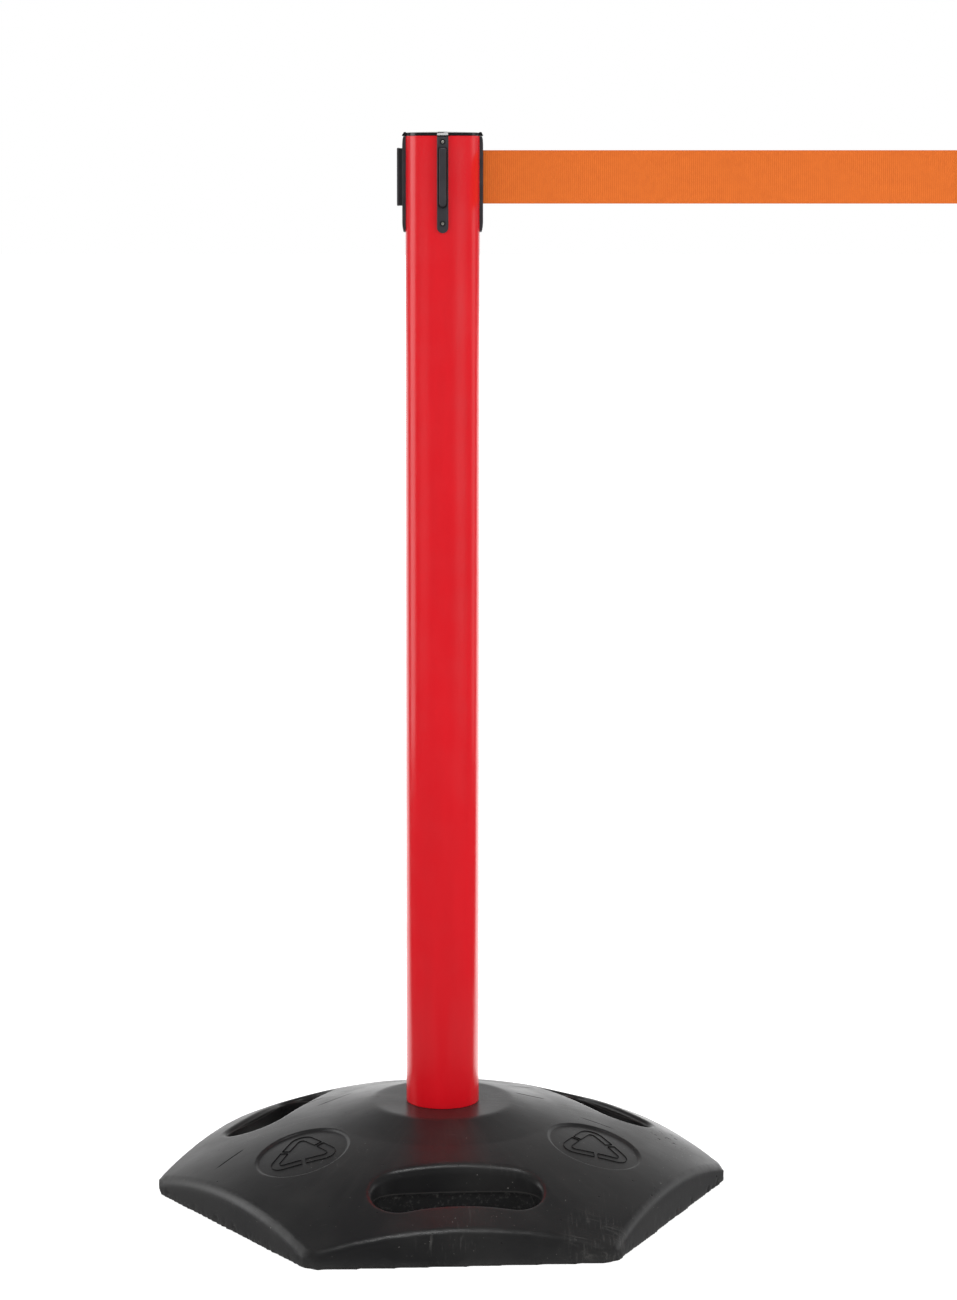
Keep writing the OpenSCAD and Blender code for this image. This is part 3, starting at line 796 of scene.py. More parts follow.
@dataclass(frozen=True)
class RoomFinish:
    """A softly lit room, white to the camera and shaded for reflections."""

    level: float = 0.88
    back: float = 1.0
    front: float = 0.12
    top: float = 0.16
    wall: Range = (0.76, 0.93)
    sky: Range = (-0.35, 0.75)
    above: Range = (0.15, 0.6)
    lifted: Range = (0.06, 0.2)

    def build(self) -> bpy.types.World:
        """Make the world.

        Returns:
            The world.
        """
        world = bpy.data.worlds.new("studio")
        world.use_nodes = True
        n = Nodes(world.node_tree)
        ray = n.add("ShaderNodeLightPath").outputs
        room = self.shader(n, self.level)
        mirrored = self.switch(n, ray["Is Glossy Ray"], room, self.shader(n, self.shading(n)))
        seen = self.switch(n, ray["Is Camera Ray"], mirrored, self.shader(n, 1.0))
        n.feed(n.add("ShaderNodeOutputWorld").inputs["Surface"], seen)
        return world

    def shading(self, n: Nodes) -> Socket:
        """Shade what gloss reflects: bright behind the object, dark before and above it.

        Args:
            n: The world's nodes.

        Returns:
            The brightness.
        """
        way = n.parts(n.add("ShaderNodeTexCoord").outputs["Generated"])
        wall = n.span(way["Y"], *self.wall, self.front, self.back)
        sky = n.span(way["Y"], *self.sky, self.front, self.back)
        ceiling = n.times(sky, n.span(way["Z"], *self.above, 1.0, self.top))
        mix = n.add("ShaderNodeMix", data_type="FLOAT")
        n.feed(mix.inputs["Factor"], n.span(way["Z"], *self.lifted))
        n.feed(mix.inputs["A"], wall)
        n.feed(mix.inputs["B"], ceiling)
        return mix.outputs[0]

    def shader(self, n: Nodes, strength: Any) -> Socket:
        """Make a white light.

        Args:
            n: The world's nodes.
            strength: Its brightness.

        Returns:
            The shader.
        """
        node = n.add("ShaderNodeBackground")
        n.feed(node.inputs["Color"], WHITE)
        n.feed(node.inputs["Strength"], strength)
        return node.outputs[0]

    def switch(self, n: Nodes, test: Socket, other: Socket, hit: Socket) -> Socket:
        """Choose between two shaders.

        Args:
            n: The world's nodes.
            test: The kind of ray that sees the second shader.
            other: The shader that the rest see.
            hit: The second shader.

        Returns:
            The shader for every ray.
        """
        node = n.add("ShaderNodeMixShader")
        n.feed(node.inputs["Fac"], test)
        n.feed(node.inputs[1], other)
        n.feed(node.inputs[2], hit)
        return node.outputs[0]


def belt_level() -> float:
    """Give the height of the belt's middle."""
    return sum(corner.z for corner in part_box("belt")) / 2


class Finishes:
    """Every finish of the object, each made once."""

    def __init__(self) -> None:
        """Make the materials."""
        gloss, steel = (0.010, 0.010, 0.011), (0.66, 0.64, 0.58)
        blued, brushed = (0.23, 0.24, 0.29), (60.0, 60.0, 3000.0)
        self.rubber = RubberFinish().build()
        # The marks' near-black finish is painted shadow: it stands in for the shade along the
        # moulded lines.
        self.mark = MouldedFinish("raised_mark_painted_shadow", (0.0035, 0.0035, 0.004), 0.75).build()
        self.red = PaintFinish().build()
        self.gloss_black = MouldedFinish("gloss_black_cap", gloss, 0.10, 0.04).build()
        self.grey = MouldedFinish("dark_grey_moulding", (0.036, 0.035, 0.040), 0.34).build()
        self.black = MouldedFinish("black_moulding", (0.016, 0.016, 0.017), 0.42).build()
        self.screw = MetalFinish("screw_steel_bright", steel, 0.30, metallic=0.45).build()
        self.zinc = MetalFinish("zinc_plate", (0.60, 0.61, 0.63), 0.34).build()
        self.spring = MetalFinish("blued_spring_steel", blued, 0.28, brushed).build()
        self.nylon = MouldedFinish("white_nylon", (0.62, 0.60, 0.54), 0.45, 0.15).build()
        self.webbing = WebbingFinish(belt_level()).build()


# ----------------------------------------------------------------- mesh making


def add_object(name: str, mesh: bpy.types.Mesh) -> bpy.types.Object:
    """Link a new object.

    Args:
        name: Its name.
        mesh: The mesh that it holds.

    Returns:
        The object.
    """
    item = bpy.data.objects.new(name, mesh)
    bpy.context.scene.collection.objects.link(item)
    return item


def bake_modifiers(item: bpy.types.Object) -> None:
    """Apply every modifier of an object to its mesh.

    Args:
        item: The object.
    """
    bpy.context.view_layer.update()
    graph = bpy.context.evaluated_depsgraph_get()
    made = bpy.data.meshes.new_from_object(item.evaluated_get(graph))
    item.modifiers.clear()
    item.data = made


def finish_mesh(item: bpy.types.Object, material: bpy.types.Material, sharp: float) -> None:
    """Give an object one material and smooth shading.

    Args:
        item: The object.
        material: Its material.
        sharp: The angle in degrees from which an edge is sharp.
    """
    mesh = item.data
    mesh.materials.clear()
    mesh.materials.append(material)
    for polygon in mesh.polygons:
        polygon.use_smooth = True
        polygon.material_index = 0
    mesh.set_sharp_from_angle(angle=math.radians(sharp))


def place(
    item: bpy.types.Object, body: Body, stands_for: Iterable[str] = ()
) -> None:
    """Make a finished piece ride on its body and stand for CAD nodes.

    Args:
        item: The piece.
        body: The body that it moves with.
        stands_for: The CAD nodes that it replaces.
    """
    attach(item, body.value)
    if stands_for:
        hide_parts(*stands_for)
    LOG.info("%s: %d faces, rides on %s", item.name, len(item.data.polygons), body.value)


def solid_from(bm: bmesh.types.BMesh, name: str) -> bpy.types.Object:
    """Close a bmesh into a new object with its faces outwards.

    Args:
        bm: The bmesh, which is freed.
        name: The object's name.

    Returns:
        The object.
    """
    bmesh.ops.remove_doubles(bm, verts=bm.verts, dist=WELD)
    bmesh.ops.recalc_face_normals(bm, faces=bm.faces)
    mesh = bpy.data.meshes.new(name)
    bm.to_mesh(mesh)
    bm.free()
    return add_object(name, mesh)


def lathe(profile: Sequence[Spot], steps: int, name: str, ring: bool = True) -> bpy.types.Object:
    """Spin a profile of radius and height round the Z axis.

    Args:
        profile: The corners of the section, as radius and height.
        steps: How many segments a full turn has.
        name: The object's name.
        ring: True to close the section; False where it starts and ends on the axis.

    Returns:
        The new object.
    """
    bm = bmesh.new()
    verts = [bm.verts.new((r, 0.0, z)) for r, z in profile]
    ends = verts[1:] + (verts[:1] if ring else [])
    edges = [bm.edges.new(pair) for pair in zip(verts, ends)]
    bmesh.ops.spin(
        bm, geom=verts + edges, cent=(0, 0, 0), axis=(0, 0, 1),
        angle=2 * math.pi, steps=steps, use_merge=True,
    )
    return solid_from(bm, name)


def arc(centre: Spot, radius: float, start: float, end: float, steps: int) -> list[Spot]:
    """Give points along an arc, from start to end in degrees."""
    angles = [math.radians(start + (end - start) * i / steps) for i in range(steps + 1)]
    return [(centre[0] + radius * math.cos(a), centre[1] + radius * math.sin(a)) for a in angles]


def prism(
    outline: Sequence[Spot], start: float, end: float, axis: Axis = Axis.X
) -> bmesh.types.BMesh:
    """Extrude an outline along an axis into a closed solid.

    Args:
        outline: Corners as Y and Z for the X axis, or as X and Y for the Z axis.
        start: Where the solid starts along the axis.
        end: Where it ends.
        axis: The axis that it is extruded along.

    Returns:
        The bmesh that holds it, with its faces outwards.
    """
    bm = bmesh.new()
    along = Vector((1, 0, 0)) if axis is Axis.X else Vector((0, 0, 1))
    corners = [Vector((0, a, b)) if axis is Axis.X else Vector((a, b, 0)) for a, b in outline]
    face = bm.faces.new([bm.verts.new(corner + along * start) for corner in corners])
    grown = bmesh.ops.extrude_face_region(bm, geom=[face])["geom"]
    tops = [v for v in grown if isinstance(v, bmesh.types.BMVert)]
    bmesh.ops.translate(bm, vec=along * (end - start), verts=tops)
    bmesh.ops.recalc_face_normals(bm, faces=bm.faces)
    return bm


def oblong(half: float, low: float, high: float, foot_r: float, head_r: float) -> list[Spot]:
    """Give an upright oblong's outline.

    Args:
        half: Half its width.
        low: Its foot.
        high: Its head.
        foot_r: The corner radius at the foot.
        head_r: The corner radius at the head.

    Returns:
        Its corners, as Y and Z.
    """
    return (
        arc((half - head_r, high - head_r), head_r, 0, 90, 6)
        + arc((head_r - half, high - head_r), head_r, 90, 180, 6)
        + arc((foot_r - half, low + foot_r), foot_r, 180, 270, 8)
        + arc((half - foot_r, low + foot_r), foot_r, 270, 360, 8)
    )


def slice_level(bm: bmesh.types.BMesh, level: float) -> None:
    """Cut a mesh's faces along a level, and keep both sides.

    Args:
        bm: The mesh.
        level: The height of the cut.
    """
    bmesh.ops.bisect_plane(
        bm, geom=bm.verts[:] + bm.edges[:] + bm.faces[:], dist=ON_PLANE,
        plane_co=(0, 0, level), plane_no=(0, 0, 1),
    )


def round_edges(
    bm: bmesh.types.BMesh,
    offset: float,
    steps: int,
    pick: Callable[[bmesh.types.BMEdge], bool] = lambda edge: True,
) -> None:
    """Round the sharp edges that pick accepts.

    Args:
        bm: The mesh.
        offset: Size of the rounding.
        steps: Its segments.
        pick: Tells whether an edge is rounded.
    """
    least = 0.5  # radians between faces, below which an edge is left smooth
    edges = [e for e in bm.edges if e.calc_face_angle(0) > least and pick(e)]
    bmesh.ops.bevel(
        bm, geom=edges, offset=offset, offset_type="OFFSET", segments=steps,
        profile=0.5, affect="EDGES", clamp_overlap=True, material=-1,
    )


def face_side(item: bpy.types.Object, side: Side) -> bpy.types.Object:
    """Turn a piece made facing +X to one side of the post."""
    item.data.transform(Matrix.Rotation(math.radians(side.value), 4, "Z"))
    return item


def carve(item: bpy.types.Object, cutter: bpy.types.Object, join: bool = False) -> None:
    """Cut a closed object with another, or join the two, and delete the other.

    Args:
        item: The object that stays.
        cutter: The other.
        join: True to join them.
    """
    modifier = item.modifiers.new("carve", "BOOLEAN")
    modifier.operation = "UNION" if join else "DIFFERENCE"
    modifier.solver = "MANIFOLD"
    modifier.object = cutter
    bake_modifiers(item)
    bpy.data.objects.remove(cutter)


def spots_and_normals(mesh: bpy.types.Mesh) -> tuple[np.ndarray, np.ndarray]:
    """Read where a mesh's vertices are and which way they face.

    Args:
        mesh: The mesh.

    Returns:
        The spots and the normals, one row for each vertex.
    """
    rows = []
    for source, key in ((mesh.vertices, "co"), (mesh.vertex_normals, "vector")):
        flat = np.empty(3 * len(source), np.float32)
        source.foreach_get(key, flat)
        rows.append(flat.reshape(-1, 3).astype(float))
    return rows[0], rows[1]


def move_to(mesh: bpy.types.Mesh, spots: np.ndarray) -> None:
    """Move a mesh's vertices to new spots."""
    mesh.vertices.foreach_set("co", spots.astype(np.float32).ravel())


def dress(nodes: Iterable[str], material: bpy.types.Material) -> None:
    """Give CAD nodes a material.

    Args:
        nodes: Their names.
        material: The material.
    """
    for name in nodes:
        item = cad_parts[name]
        if not item.material_slots:
            item.data.materials.append(material)
        for slot in item.material_slots:
            slot.material = material
        LOG.info("%s: carried over", name)


# -------------------------------------------------------------------- the base


@dataclass
class RubberBase:
    """The rubber base, with soft moulded edges and generic marks in its panels.

    The dome is part of a sphere with its centre at dome_z, and the flank falls from the
    platform between its two radii. turn, in degrees, is how far the slots and panels are
    turned. slot_half is half the room that a slot takes, along it and across it.
    """

    finish: bpy.types.Material
    # The marks' finish: near black, as painted shadow along their lines.
    mark_shadow: bpy.types.Material
    voxel: float = 2.4 * MM
    dome_r: float = 560 * MM
    dome_z: float = -474.5 * MM
    corner_r: float = 274 * MM
    platform_z: float = 86 * MM
    flank: tuple[float, float] = (67.5 * MM, 114 * MM)
    flank_ease: float = 3 * MM
    flank_z: float = 57 * MM
    panel_half: float = 44.5 * MM
    panel_depth: float = 2.2 * MM
    panel_r: float = 160 * MM
    rim_w: float = 3.6 * MM
    rim_band: float = 5.5 * MM
    turn: float = 4.2
    slot_r: float = 175.5 * MM
    slot_half: tuple[float, float] = (80 * MM, 35 * MM)
    slot_w: float = 54 * MM
    slot_l: float = 155 * MM
    slot_bend: float = 450 * MM
    mouth_r: float = 7 * MM
    ledge_z: float = 40 * MM
    ledge_drop: float = 14 * MM
    near: float = 1.2 * MM
    facing: float = 0.9985
    foot_h: float = 7 * MM

    def build(self) -> None:
        """Make the base and its marks."""
        item = self.skin()
        first_rounds, last_rounds = 3, 14
        self.soften(item, first_rounds)
        held = self.true_up(item)
        for third in range(3):
            held |= self.true_slot(item, third)
        self.soften(item, last_rounds, self.loose(item, held))
        self.cut_rims(item)
        self.thin_underside(item)
        self.roughen(item)
        finish_mesh(item, self.finish, sharp=70)
        place(item, Body.POST, ["rubber_base"])
        for number in range(3):
            self.mark(number)

    def panel_axis(self, number: int) -> Vector:
        """Give the direction from the dome's centre through a panel's centre.

        Args:
            number: Which of the three panels, each halfway between two slots.

        Returns:
            The direction, one long.
        """
        lean = math.asin(self.panel_r / self.dome_r)
        angle = math.radians(Side.FRONT.value - THIRD / 2 + self.turn + THIRD * number)
        flat = math.sin(lean)
        return Vector((flat * math.cos(angle), flat * math.sin(angle), math.cos(lean)))

    def slot_axes(self, third: int) -> tuple[np.ndarray, np.ndarray]:
        """Give a slot's directions, seen from above.

        Args:
            third: Which of the three slots.

        Returns:
            The direction away from the post, and the one along the slot.
        """
        angle = math.radians(Side.FRONT.value + self.turn + THIRD * third)
        out = np.array((math.cos(angle), math.sin(angle)))
        return out, np.array((-out[1], out[0]))

    def rays(self, spots: np.ndarray) -> np.ndarray:
        """Give the ways from the dome's centre to points."""
        return spots - np.array((0, 0, self.dome_z))

    def dome_over(self, spots: np.ndarray) -> np.ndarray:
        """Give the dome's height over points."""
        return np.sqrt(self.dome_r ** 2 - (spots[:, :2] ** 2).sum(1)) + self.dome_z

    def skin(self) -> bpy.types.Object:
        """Copy the solid and give it an even skin.

        Returns:
            The base's new object.
        """
        bm = bmesh.new()
        bm.from_mesh(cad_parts["rubber_base"].data)
        bmesh.ops.remove_doubles(bm, verts=bm.verts, dist=10 * WELD)
        mesh = bpy.data.meshes.new("moulded_base")
        bm.to_mesh(mesh)
        bm.free()
        item = add_object("moulded_base", mesh)
        remesh = item.modifiers.new("skin", "REMESH")
        remesh.mode = "VOXEL"
        remesh.voxel_size = self.voxel
        bake_modifiers(item)
        return item

    def soften(
        self, item: bpy.types.Object, rounds: int, chosen: Optional[np.ndarray] = None
    ) -> None:
        """Smooth the skin.

        Args:
            item: The base.
            rounds: How many times.
            chosen: Whether each vertex takes part, or None for all of them.
        """
        bm = bmesh.new()
        bm.from_mesh(item.data)
        bm.verts.ensure_lookup_table()
        verts = bm.verts[:] if chosen is None else [bm.verts[i] for i in np.flatnonzero(chosen)]
        for _ in range(rounds):
            bmesh.ops.smooth_vert(
                bm, verts=verts, factor=0.5, use_axis_x=True, use_axis_y=True, use_axis_z=True
            )
        bm.to_mesh(item.data)
        bm.free()

    def true_up(self, item: bpy.types.Object) -> np.ndarray:
        """Bring the skin back to the true dome, panels, platform, corners and floor.

        Args:
            item: The base.

        Returns:
            For each vertex, whether it was brought back.
        """
        near, along, outward = self.near, self.facing, 0.99
        spots, normals = spots_and_normals(item.data)
        rays = self.rays(spots)
        reach = np.linalg.norm(rays, axis=1)
        held = np.zeros(len(spots), bool)
        on_dome = (rays * normals).sum(1) / reach > along
        for radius in (self.dome_r, self.dome_r - self.panel_depth):
            snap = on_dome & (abs(reach - radius) < self.panel_depth / 2)
            spots[snap] += rays[snap] * (radius / reach[snap] - 1)[:, None]
            held |= snap
        under = (normals[:, 2] < -along) & (abs(spots[:, 2]) < near)
        spots[under, 2] = 0.0
        flat = (normals[:, 2] > along) & (abs(spots[:, 2] - self.platform_z) < near)
        spots[flat, 2] = self.platform_z
        out = np.linalg.norm(spots[:, :2], axis=1)
        crest, foot = self.flank
        ring = (out > crest - self.flank_ease) & (out < foot) & (spots[:, 2] > self.flank_z)
        fall = self.platform_z - self.dome_z - math.sqrt(self.dome_r ** 2 - foot ** 2)
        past = out - crest
        eased = (past + self.flank_ease) ** 2 / (4 * self.flank_ease)
        past = np.where(past < self.flank_ease, eased, past)
        spots[ring, 2] = (self.platform_z - fall / (foot - crest) * past)[ring]
        facing = (spots[:, :2] * normals[:, :2]).sum(1) / np.maximum(out, near)
        trim = (facing > outward) & (abs(out - self.corner_r) < near)
        spots[trim, :2] *= (self.corner_r / out[trim])[:, None]
        move_to(item.data, spots)
        return held | under | flat | trim | ring

    def true_slot(self, item: bpy.types.Object, third: int) -> np.ndarray:
        """Bring one slot's rounded mouth and upper walls back to true.

        Args:
            item: The base.
            third: Which of the three slots.

        Returns:
            For each vertex, whether it was brought back.
        """
        spots, _ = spots_and_normals(item.data)
        out, side = self.slot_axes(third)
        along = np.stack((spots[:, :2] @ out, spots[:, :2] @ side), axis=1)
        pivot = np.array((self.slot_r + self.slot_bend, 0))
        limit = math.asin((self.slot_l - self.slot_w) / 2 / self.slot_bend)
        bearing = np.arctan2(along[:, 1], pivot[0] - along[:, 0]).clip(-limit, limit)
        spine = pivot + self.slot_bend * np.stack((-np.cos(bearing), np.sin(bearing)), axis=1)
        across = along - spine
        reach = np.linalg.norm(across, axis=1)
        way = across / np.maximum(reach, MM)[:, None]
        aside = reach - self.slot_w / 2
        deep = self.dome_over(spots) - spots[:, 2]
        r, slack = self.mouth_r, 2 * MM
        gone = np.hypot(r - aside, r - deep)
        mouth = (aside > -slack) & (aside < r) & (deep > -slack) & (deep < r)
        mouth &= abs(gone - r) < r / 2
        inner_band, outer_band, over_ledge = 1.5 * MM, 2.6 * MM, self.ledge_z + 0.8 * MM
        outer = across[:, 0] > -0.2 * reach
        wall = (abs(aside) < inner_band) & (deep >= r) & (spots[:, 2] > over_ledge)
        wall |= outer & (abs(aside - MM) < outer_band) & (deep >= r) & (spots[:, 2] > MM)
        new_aside, new_deep = aside.copy(), deep.copy()
        new_aside[mouth] = r - (r - aside[mouth]) * r / gone[mouth]
        new_deep[mouth] = r - (r - deep[mouth]) * r / gone[mouth]
        new_aside[wall] = 0.0
        shift = way * (new_aside - aside)[:, None]
        spots[:, :2] += shift[:, :1] * out + shift[:, 1:] * side
        spots[mouth, 2] = (self.dome_over(spots) - new_deep)[mouth]
        move_to(item.data, spots)
        return mouth | wall

    def loose(self, item: bpy.types.Object, held: np.ndarray) -> np.ndarray:
        """Choose the roundings and slot walls, which may still be softened.

        Args:
            item: The base.
            held: For each vertex, whether it was brought back.

        Returns:
            For each vertex, whether it may be softened.
        """
        spots, _ = spots_and_normals(item.data)
        foot_gap, wall_gap, rim_gap = 9 * MM, 2 * MM, 6 * MM
        free = ~held & (spots[:, 2] > foot_gap)
        free &= ~(self.in_slots(spots) & (spots[:, 2] < self.ledge_floor(spots) + wall_gap))
        for number in range(3):
            free &= abs(self.from_panel(spots, number) - self.panel_half) > rim_gap
        return free

    def from_panel(self, spots: np.ndarray, number: int) -> np.ndarray:
        """Measure how far points are from a panel's axis.

        Args:
            spots: The points.
            number: Which of the three panels.

        Returns:
            Each point's distance.
        """
        axis, rays = np.array(self.panel_axis(number)), self.rays(spots)
        return np.linalg.norm(rays - (rays @ axis)[:, None] * axis, axis=1)

    def ledge_floor(self, spots: np.ndarray) -> np.ndarray:
        """Give how high the rough wall reaches: less on a slot's outer side."""
        outer = np.linalg.norm(spots[:, :2], axis=1) > self.slot_r
        return np.where(outer, self.ledge_z - self.ledge_drop, self.ledge_z)

    def in_slots(self, spots: np.ndarray) -> np.ndarray:
        """Tell which points lie in or at the wall of a hand slot.

        Args:
            spots: The points.

        Returns:
            Whether each one does.
        """
        inside = np.zeros(len(spots), bool)
        for third in range(3):
            out, side = self.slot_axes(third)
            across = abs(spots[:, :2] @ out - self.slot_r)
            inside |= (across < self.slot_half[1]) & (abs(spots[:, :2] @ side) < self.slot_half[0])
        return inside

    def cut_rims(self, item: bpy.types.Object) -> None:
        """Refine the skin round each panel and give the panel a crisp rounded rim.

        Args:
            item: The base.
        """
        spots, _ = spots_and_normals(item.data)
        lowest, band, rim_w = 30 * MM, self.rim_band, self.rim_w
        near = np.zeros(len(spots), bool)
        for number in range(3):
            near |= abs(self.from_panel(spots, number) - self.panel_half) < band
        near &= spots[:, 2] > lowest
        bm = bmesh.new()
        bm.from_mesh(item.data)
        faces = [f for f in bm.faces if all(near[v.index] for v in f.verts)]
        edges = list({e for f in faces for e in f.edges})
        bmesh.ops.subdivide_edges(bm, edges=edges, cuts=2, use_grid_fill=True)
        bm.to_mesh(item.data)
        bm.free()
        spots, _ = spots_and_normals(item.data)
        rays = self.rays(spots)
        reach = np.linalg.norm(rays, axis=1)
        top = abs(reach - self.dome_r) < 2 * self.panel_depth
        for number in range(3):
            away = self.from_panel(spots, number)
            ahead = rays @ np.array(self.panel_axis(number)) > 0
            chosen = top & ahead & (abs(away - self.panel_half) < band)
            t = np.clip((self.panel_half + rim_w / 2 - away[chosen]) / rim_w, 0, 1)
            wanted = self.dome_r - self.panel_depth * t * t * (3 - 2 * t)
            spots[chosen] += rays[chosen] * (wanted / reach[chosen] - 1)[:, None]
        move_to(item.data, spots)

    def roughen(self, item: bpy.types.Object) -> None:
        """Roughen the slots' lower walls and the foot's edge, and store where wear shows and where
        the rough lower walls take painted shade.

        Args:
            item: The base.
        """
        margin, least, coarse_depth, nick_depth = 0.5 * MM, 0.4 * MM, 0.8 * MM, 2.2 * MM
        coarse_scale, nick_scale, nick_share, edge_wear = 190, 120, 0.15, 0.8
        not_flat, wall_like, dome_like, ledge_band = 0.9, 0.6, 0.8, 6 * MM
        mesh = item.data
        spots, normals = spots_and_normals(mesh)
        low_wall = self.in_slots(spots) & (spots[:, 2] > margin)
        low_wall &= spots[:, 2] < self.ledge_floor(spots) - margin
        foot = ~low_wall & (spots[:, 2] < self.foot_h) & (abs(normals[:, 2]) < not_flat)
        for i in np.flatnonzero(low_wall):
            coarse = noise.fractal(Vector(spots[i] * coarse_scale), 0.8, 2.2, 4)
            spots[i] -= normals[i] * (least + coarse_depth * abs(coarse))
        for i in np.flatnonzero(foot):
            nick = noise.fractal(Vector(spots[i] * nick_scale), 0.7, 2.1, 3) - nick_share
            flat = np.array((*spots[i, :2], 0)) / np.linalg.norm(spots[i, :2])
            spots[i] -= flat * nick_depth * max(0.0, nick)
        move_to(mesh, spots)
        worn = foot * edge_wear * (1 - spots[:, 2] / self.foot_h)
        ledge = self.in_slots(spots) & (abs(spots[:, 2] - self.ledge_z) < ledge_band)
        ledge &= abs(normals[:, 2]) < wall_like
        upper = normals[:, 2] > dome_like
        marks = {"cast": low_wall, "worn": worn, "ledge": ledge, "upper": upper}
        for name, values in marks.items():
            mesh.attributes.new(name, "FLOAT", "POINT").data.foreach_set(
                "value", values.astype(np.float32)
            )

    def thin_underside(self, item: bpy.types.Object) -> None:
        """Refill the flat underside with few faces.

        Args:
            item: The base.
        """
        bm = bmesh.new()
        bm.from_mesh(item.data)
        flat = [f for f in bm.faces if all(abs(v.co.z) < 10 * WELD for v in f.verts)]
        bmesh.ops.delete(bm, geom=flat, context="FACES")
        rims = [e for e in bm.edges if e.is_boundary]
        bmesh.ops.triangle_fill(bm, edges=rims, use_beauty=True, normal=(0, 0, -1))
        bm.to_mesh(item.data)
        bm.free()

    def mark(self, number: int) -> None:
        """Raise a generic mark on a panel: three bent bands, drawn as outlines in a near-black
        finish that is painted shadow along the lines.

        Args:
            number: Which of the three panels.
        """
        bm = bmesh.new()
        line_w, line_h, crisp, sunk = 1.3 * MM, 0.9 * MM, 0.35 * MM, 0.15 * MM
        for third in range(3):
            turn = Matrix.Rotation(math.radians(THIRD * third), 3, "Z")
            verts = [bm.verts.new(turn @ Vector((x, y, 0))) for x, y in self.bent_band()]
            face = bm.faces.new(verts)
            ring = bmesh.ops.inset_region(
                bm, faces=[face], thickness=line_w, use_even_offset=True, use_boundary=True
            )["faces"]
            bmesh.ops.delete(bm, geom=[face], context="FACES_ONLY")
            raised = bmesh.ops.extrude_face_region(bm, geom=ring, use_keep_orig=True)["geom"]
            tops = [v for v in raised if isinstance(v, bmesh.types.BMVert)]
            bmesh.ops.translate(bm, vec=(0, 0, line_h), verts=tops)
        bmesh.ops.recalc_face_normals(bm, faces=bm.faces)
        upper = [e for e in bm.edges if min(v.co.z for v in e.verts) > 0]
        rims = [e for e in upper if e.calc_face_angle(0) > 0.9]
        bmesh.ops.bevel(
            bm, geom=rims, offset=crisp, segments=2, profile=0.5, affect="EDGES", material=-1
        )
        axis = self.panel_axis(number)
        side = Vector((-axis.y, axis.x, 0)).normalized()
        outward = side.cross(axis).normalized()
        floor_r = self.dome_r - self.panel_depth - sunk
        for vert in bm.verts:
            ray = axis * self.dome_r + side * vert.co.x + outward * vert.co.y
            vert.co = Vector((0, 0, self.dome_z)) + ray.normalized() * (floor_r + vert.co.z)
        item = solid_from(bm, f"panel_mark_{number + 1}")
        # The near-black finish paints the shadow along the mark's lines.
        finish_mesh(item, self.mark_shadow, sharp=35)
        place(item, Body.POST)

    def bent_band(self) -> list[Spot]:
        """Draw a band bent round a triangle's top corner.

        Returns:
            Its outline, round the middle of the triangle.
        """
        centre, half_w, bend_r, run = (0.0, 22.3 * MM), 4.1 * MM, 8 * MM, 17.4 * MM
        slope = (0.5, -math.sqrt(3) / 2)
        rows = []
        for radius, order in ((bend_r + half_w, 1), (bend_r - half_w, -1)):
            bend = arc(centre, radius, 30, 150, 8)
            along = [run, run / 2]
            right = [(bend[0][0] + d * slope[0], bend[0][1] + d * slope[1]) for d in along]
            left = [(bend[-1][0] - d * slope[0], bend[-1][1] + d * slope[1]) for d in along]
            rows += (right + bend + left[::-1])[::order]
        return rows


# -------------------------------------------------------------------- the post


@dataclass
class Post:
    """The tube, its foot plug and what bolts it to the base."""

    finishes: Finishes
    wall: float = 4 * MM
    lip: float = 0.6 * MM
    steps: int = 144
    mouth_w: float = 6.8 * MM
    mouth_room: float = 5 * MM
    past: float = 2 * MM

    def build(self) -> None:
        """Make the tube and dress the pieces in its foot."""
        low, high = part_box("post_tube")
        outer, inner = high.x, high.x - self.wall
        lip = self.lip
        profile = (
            arc((outer - lip, low.z + lip), lip, -90, 0, 4)
            + arc((outer - lip, high.z - lip), lip, 0, 90, 4)
            + [(inner, high.z), (inner, low.z)]
        )
        tube = lathe(profile, self.steps, "red_tube")
        carve(tube, self.mouth_cutter(inner - self.past, outer + self.past))
        finish_mesh(tube, self.finishes.red, sharp=40)
        place(tube, Body.POST, ["post_tube"])
        dress(["foot_plug"], self.finishes.black)
        dress(["base_washer", "lock_washer", "base_bolt", "plug_nut"], self.finishes.zinc)

    def mouth_cutter(self, start: float, end: float) -> bpy.types.Object:
        """Make the block that opens the tube for the belt mouth's nozzle.

        Args:
            start: Where it starts along X.
            end: Where it ends.

        Returns:
            The block.
        """
        low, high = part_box("belt")
        size = (end - start, self.mouth_w, high.z - low.z + self.mouth_room)
        bm = bmesh.new()
        bmesh.ops.create_cube(bm, size=1.0)
        bmesh.ops.scale(bm, vec=size, verts=bm.verts)
        bmesh.ops.translate(bm, vec=((start + end) / 2, 0, belt_level()), verts=bm.verts)
        return solid_from(bm, "mouth_cutter")


# -------------------------------------------------------------------- the head


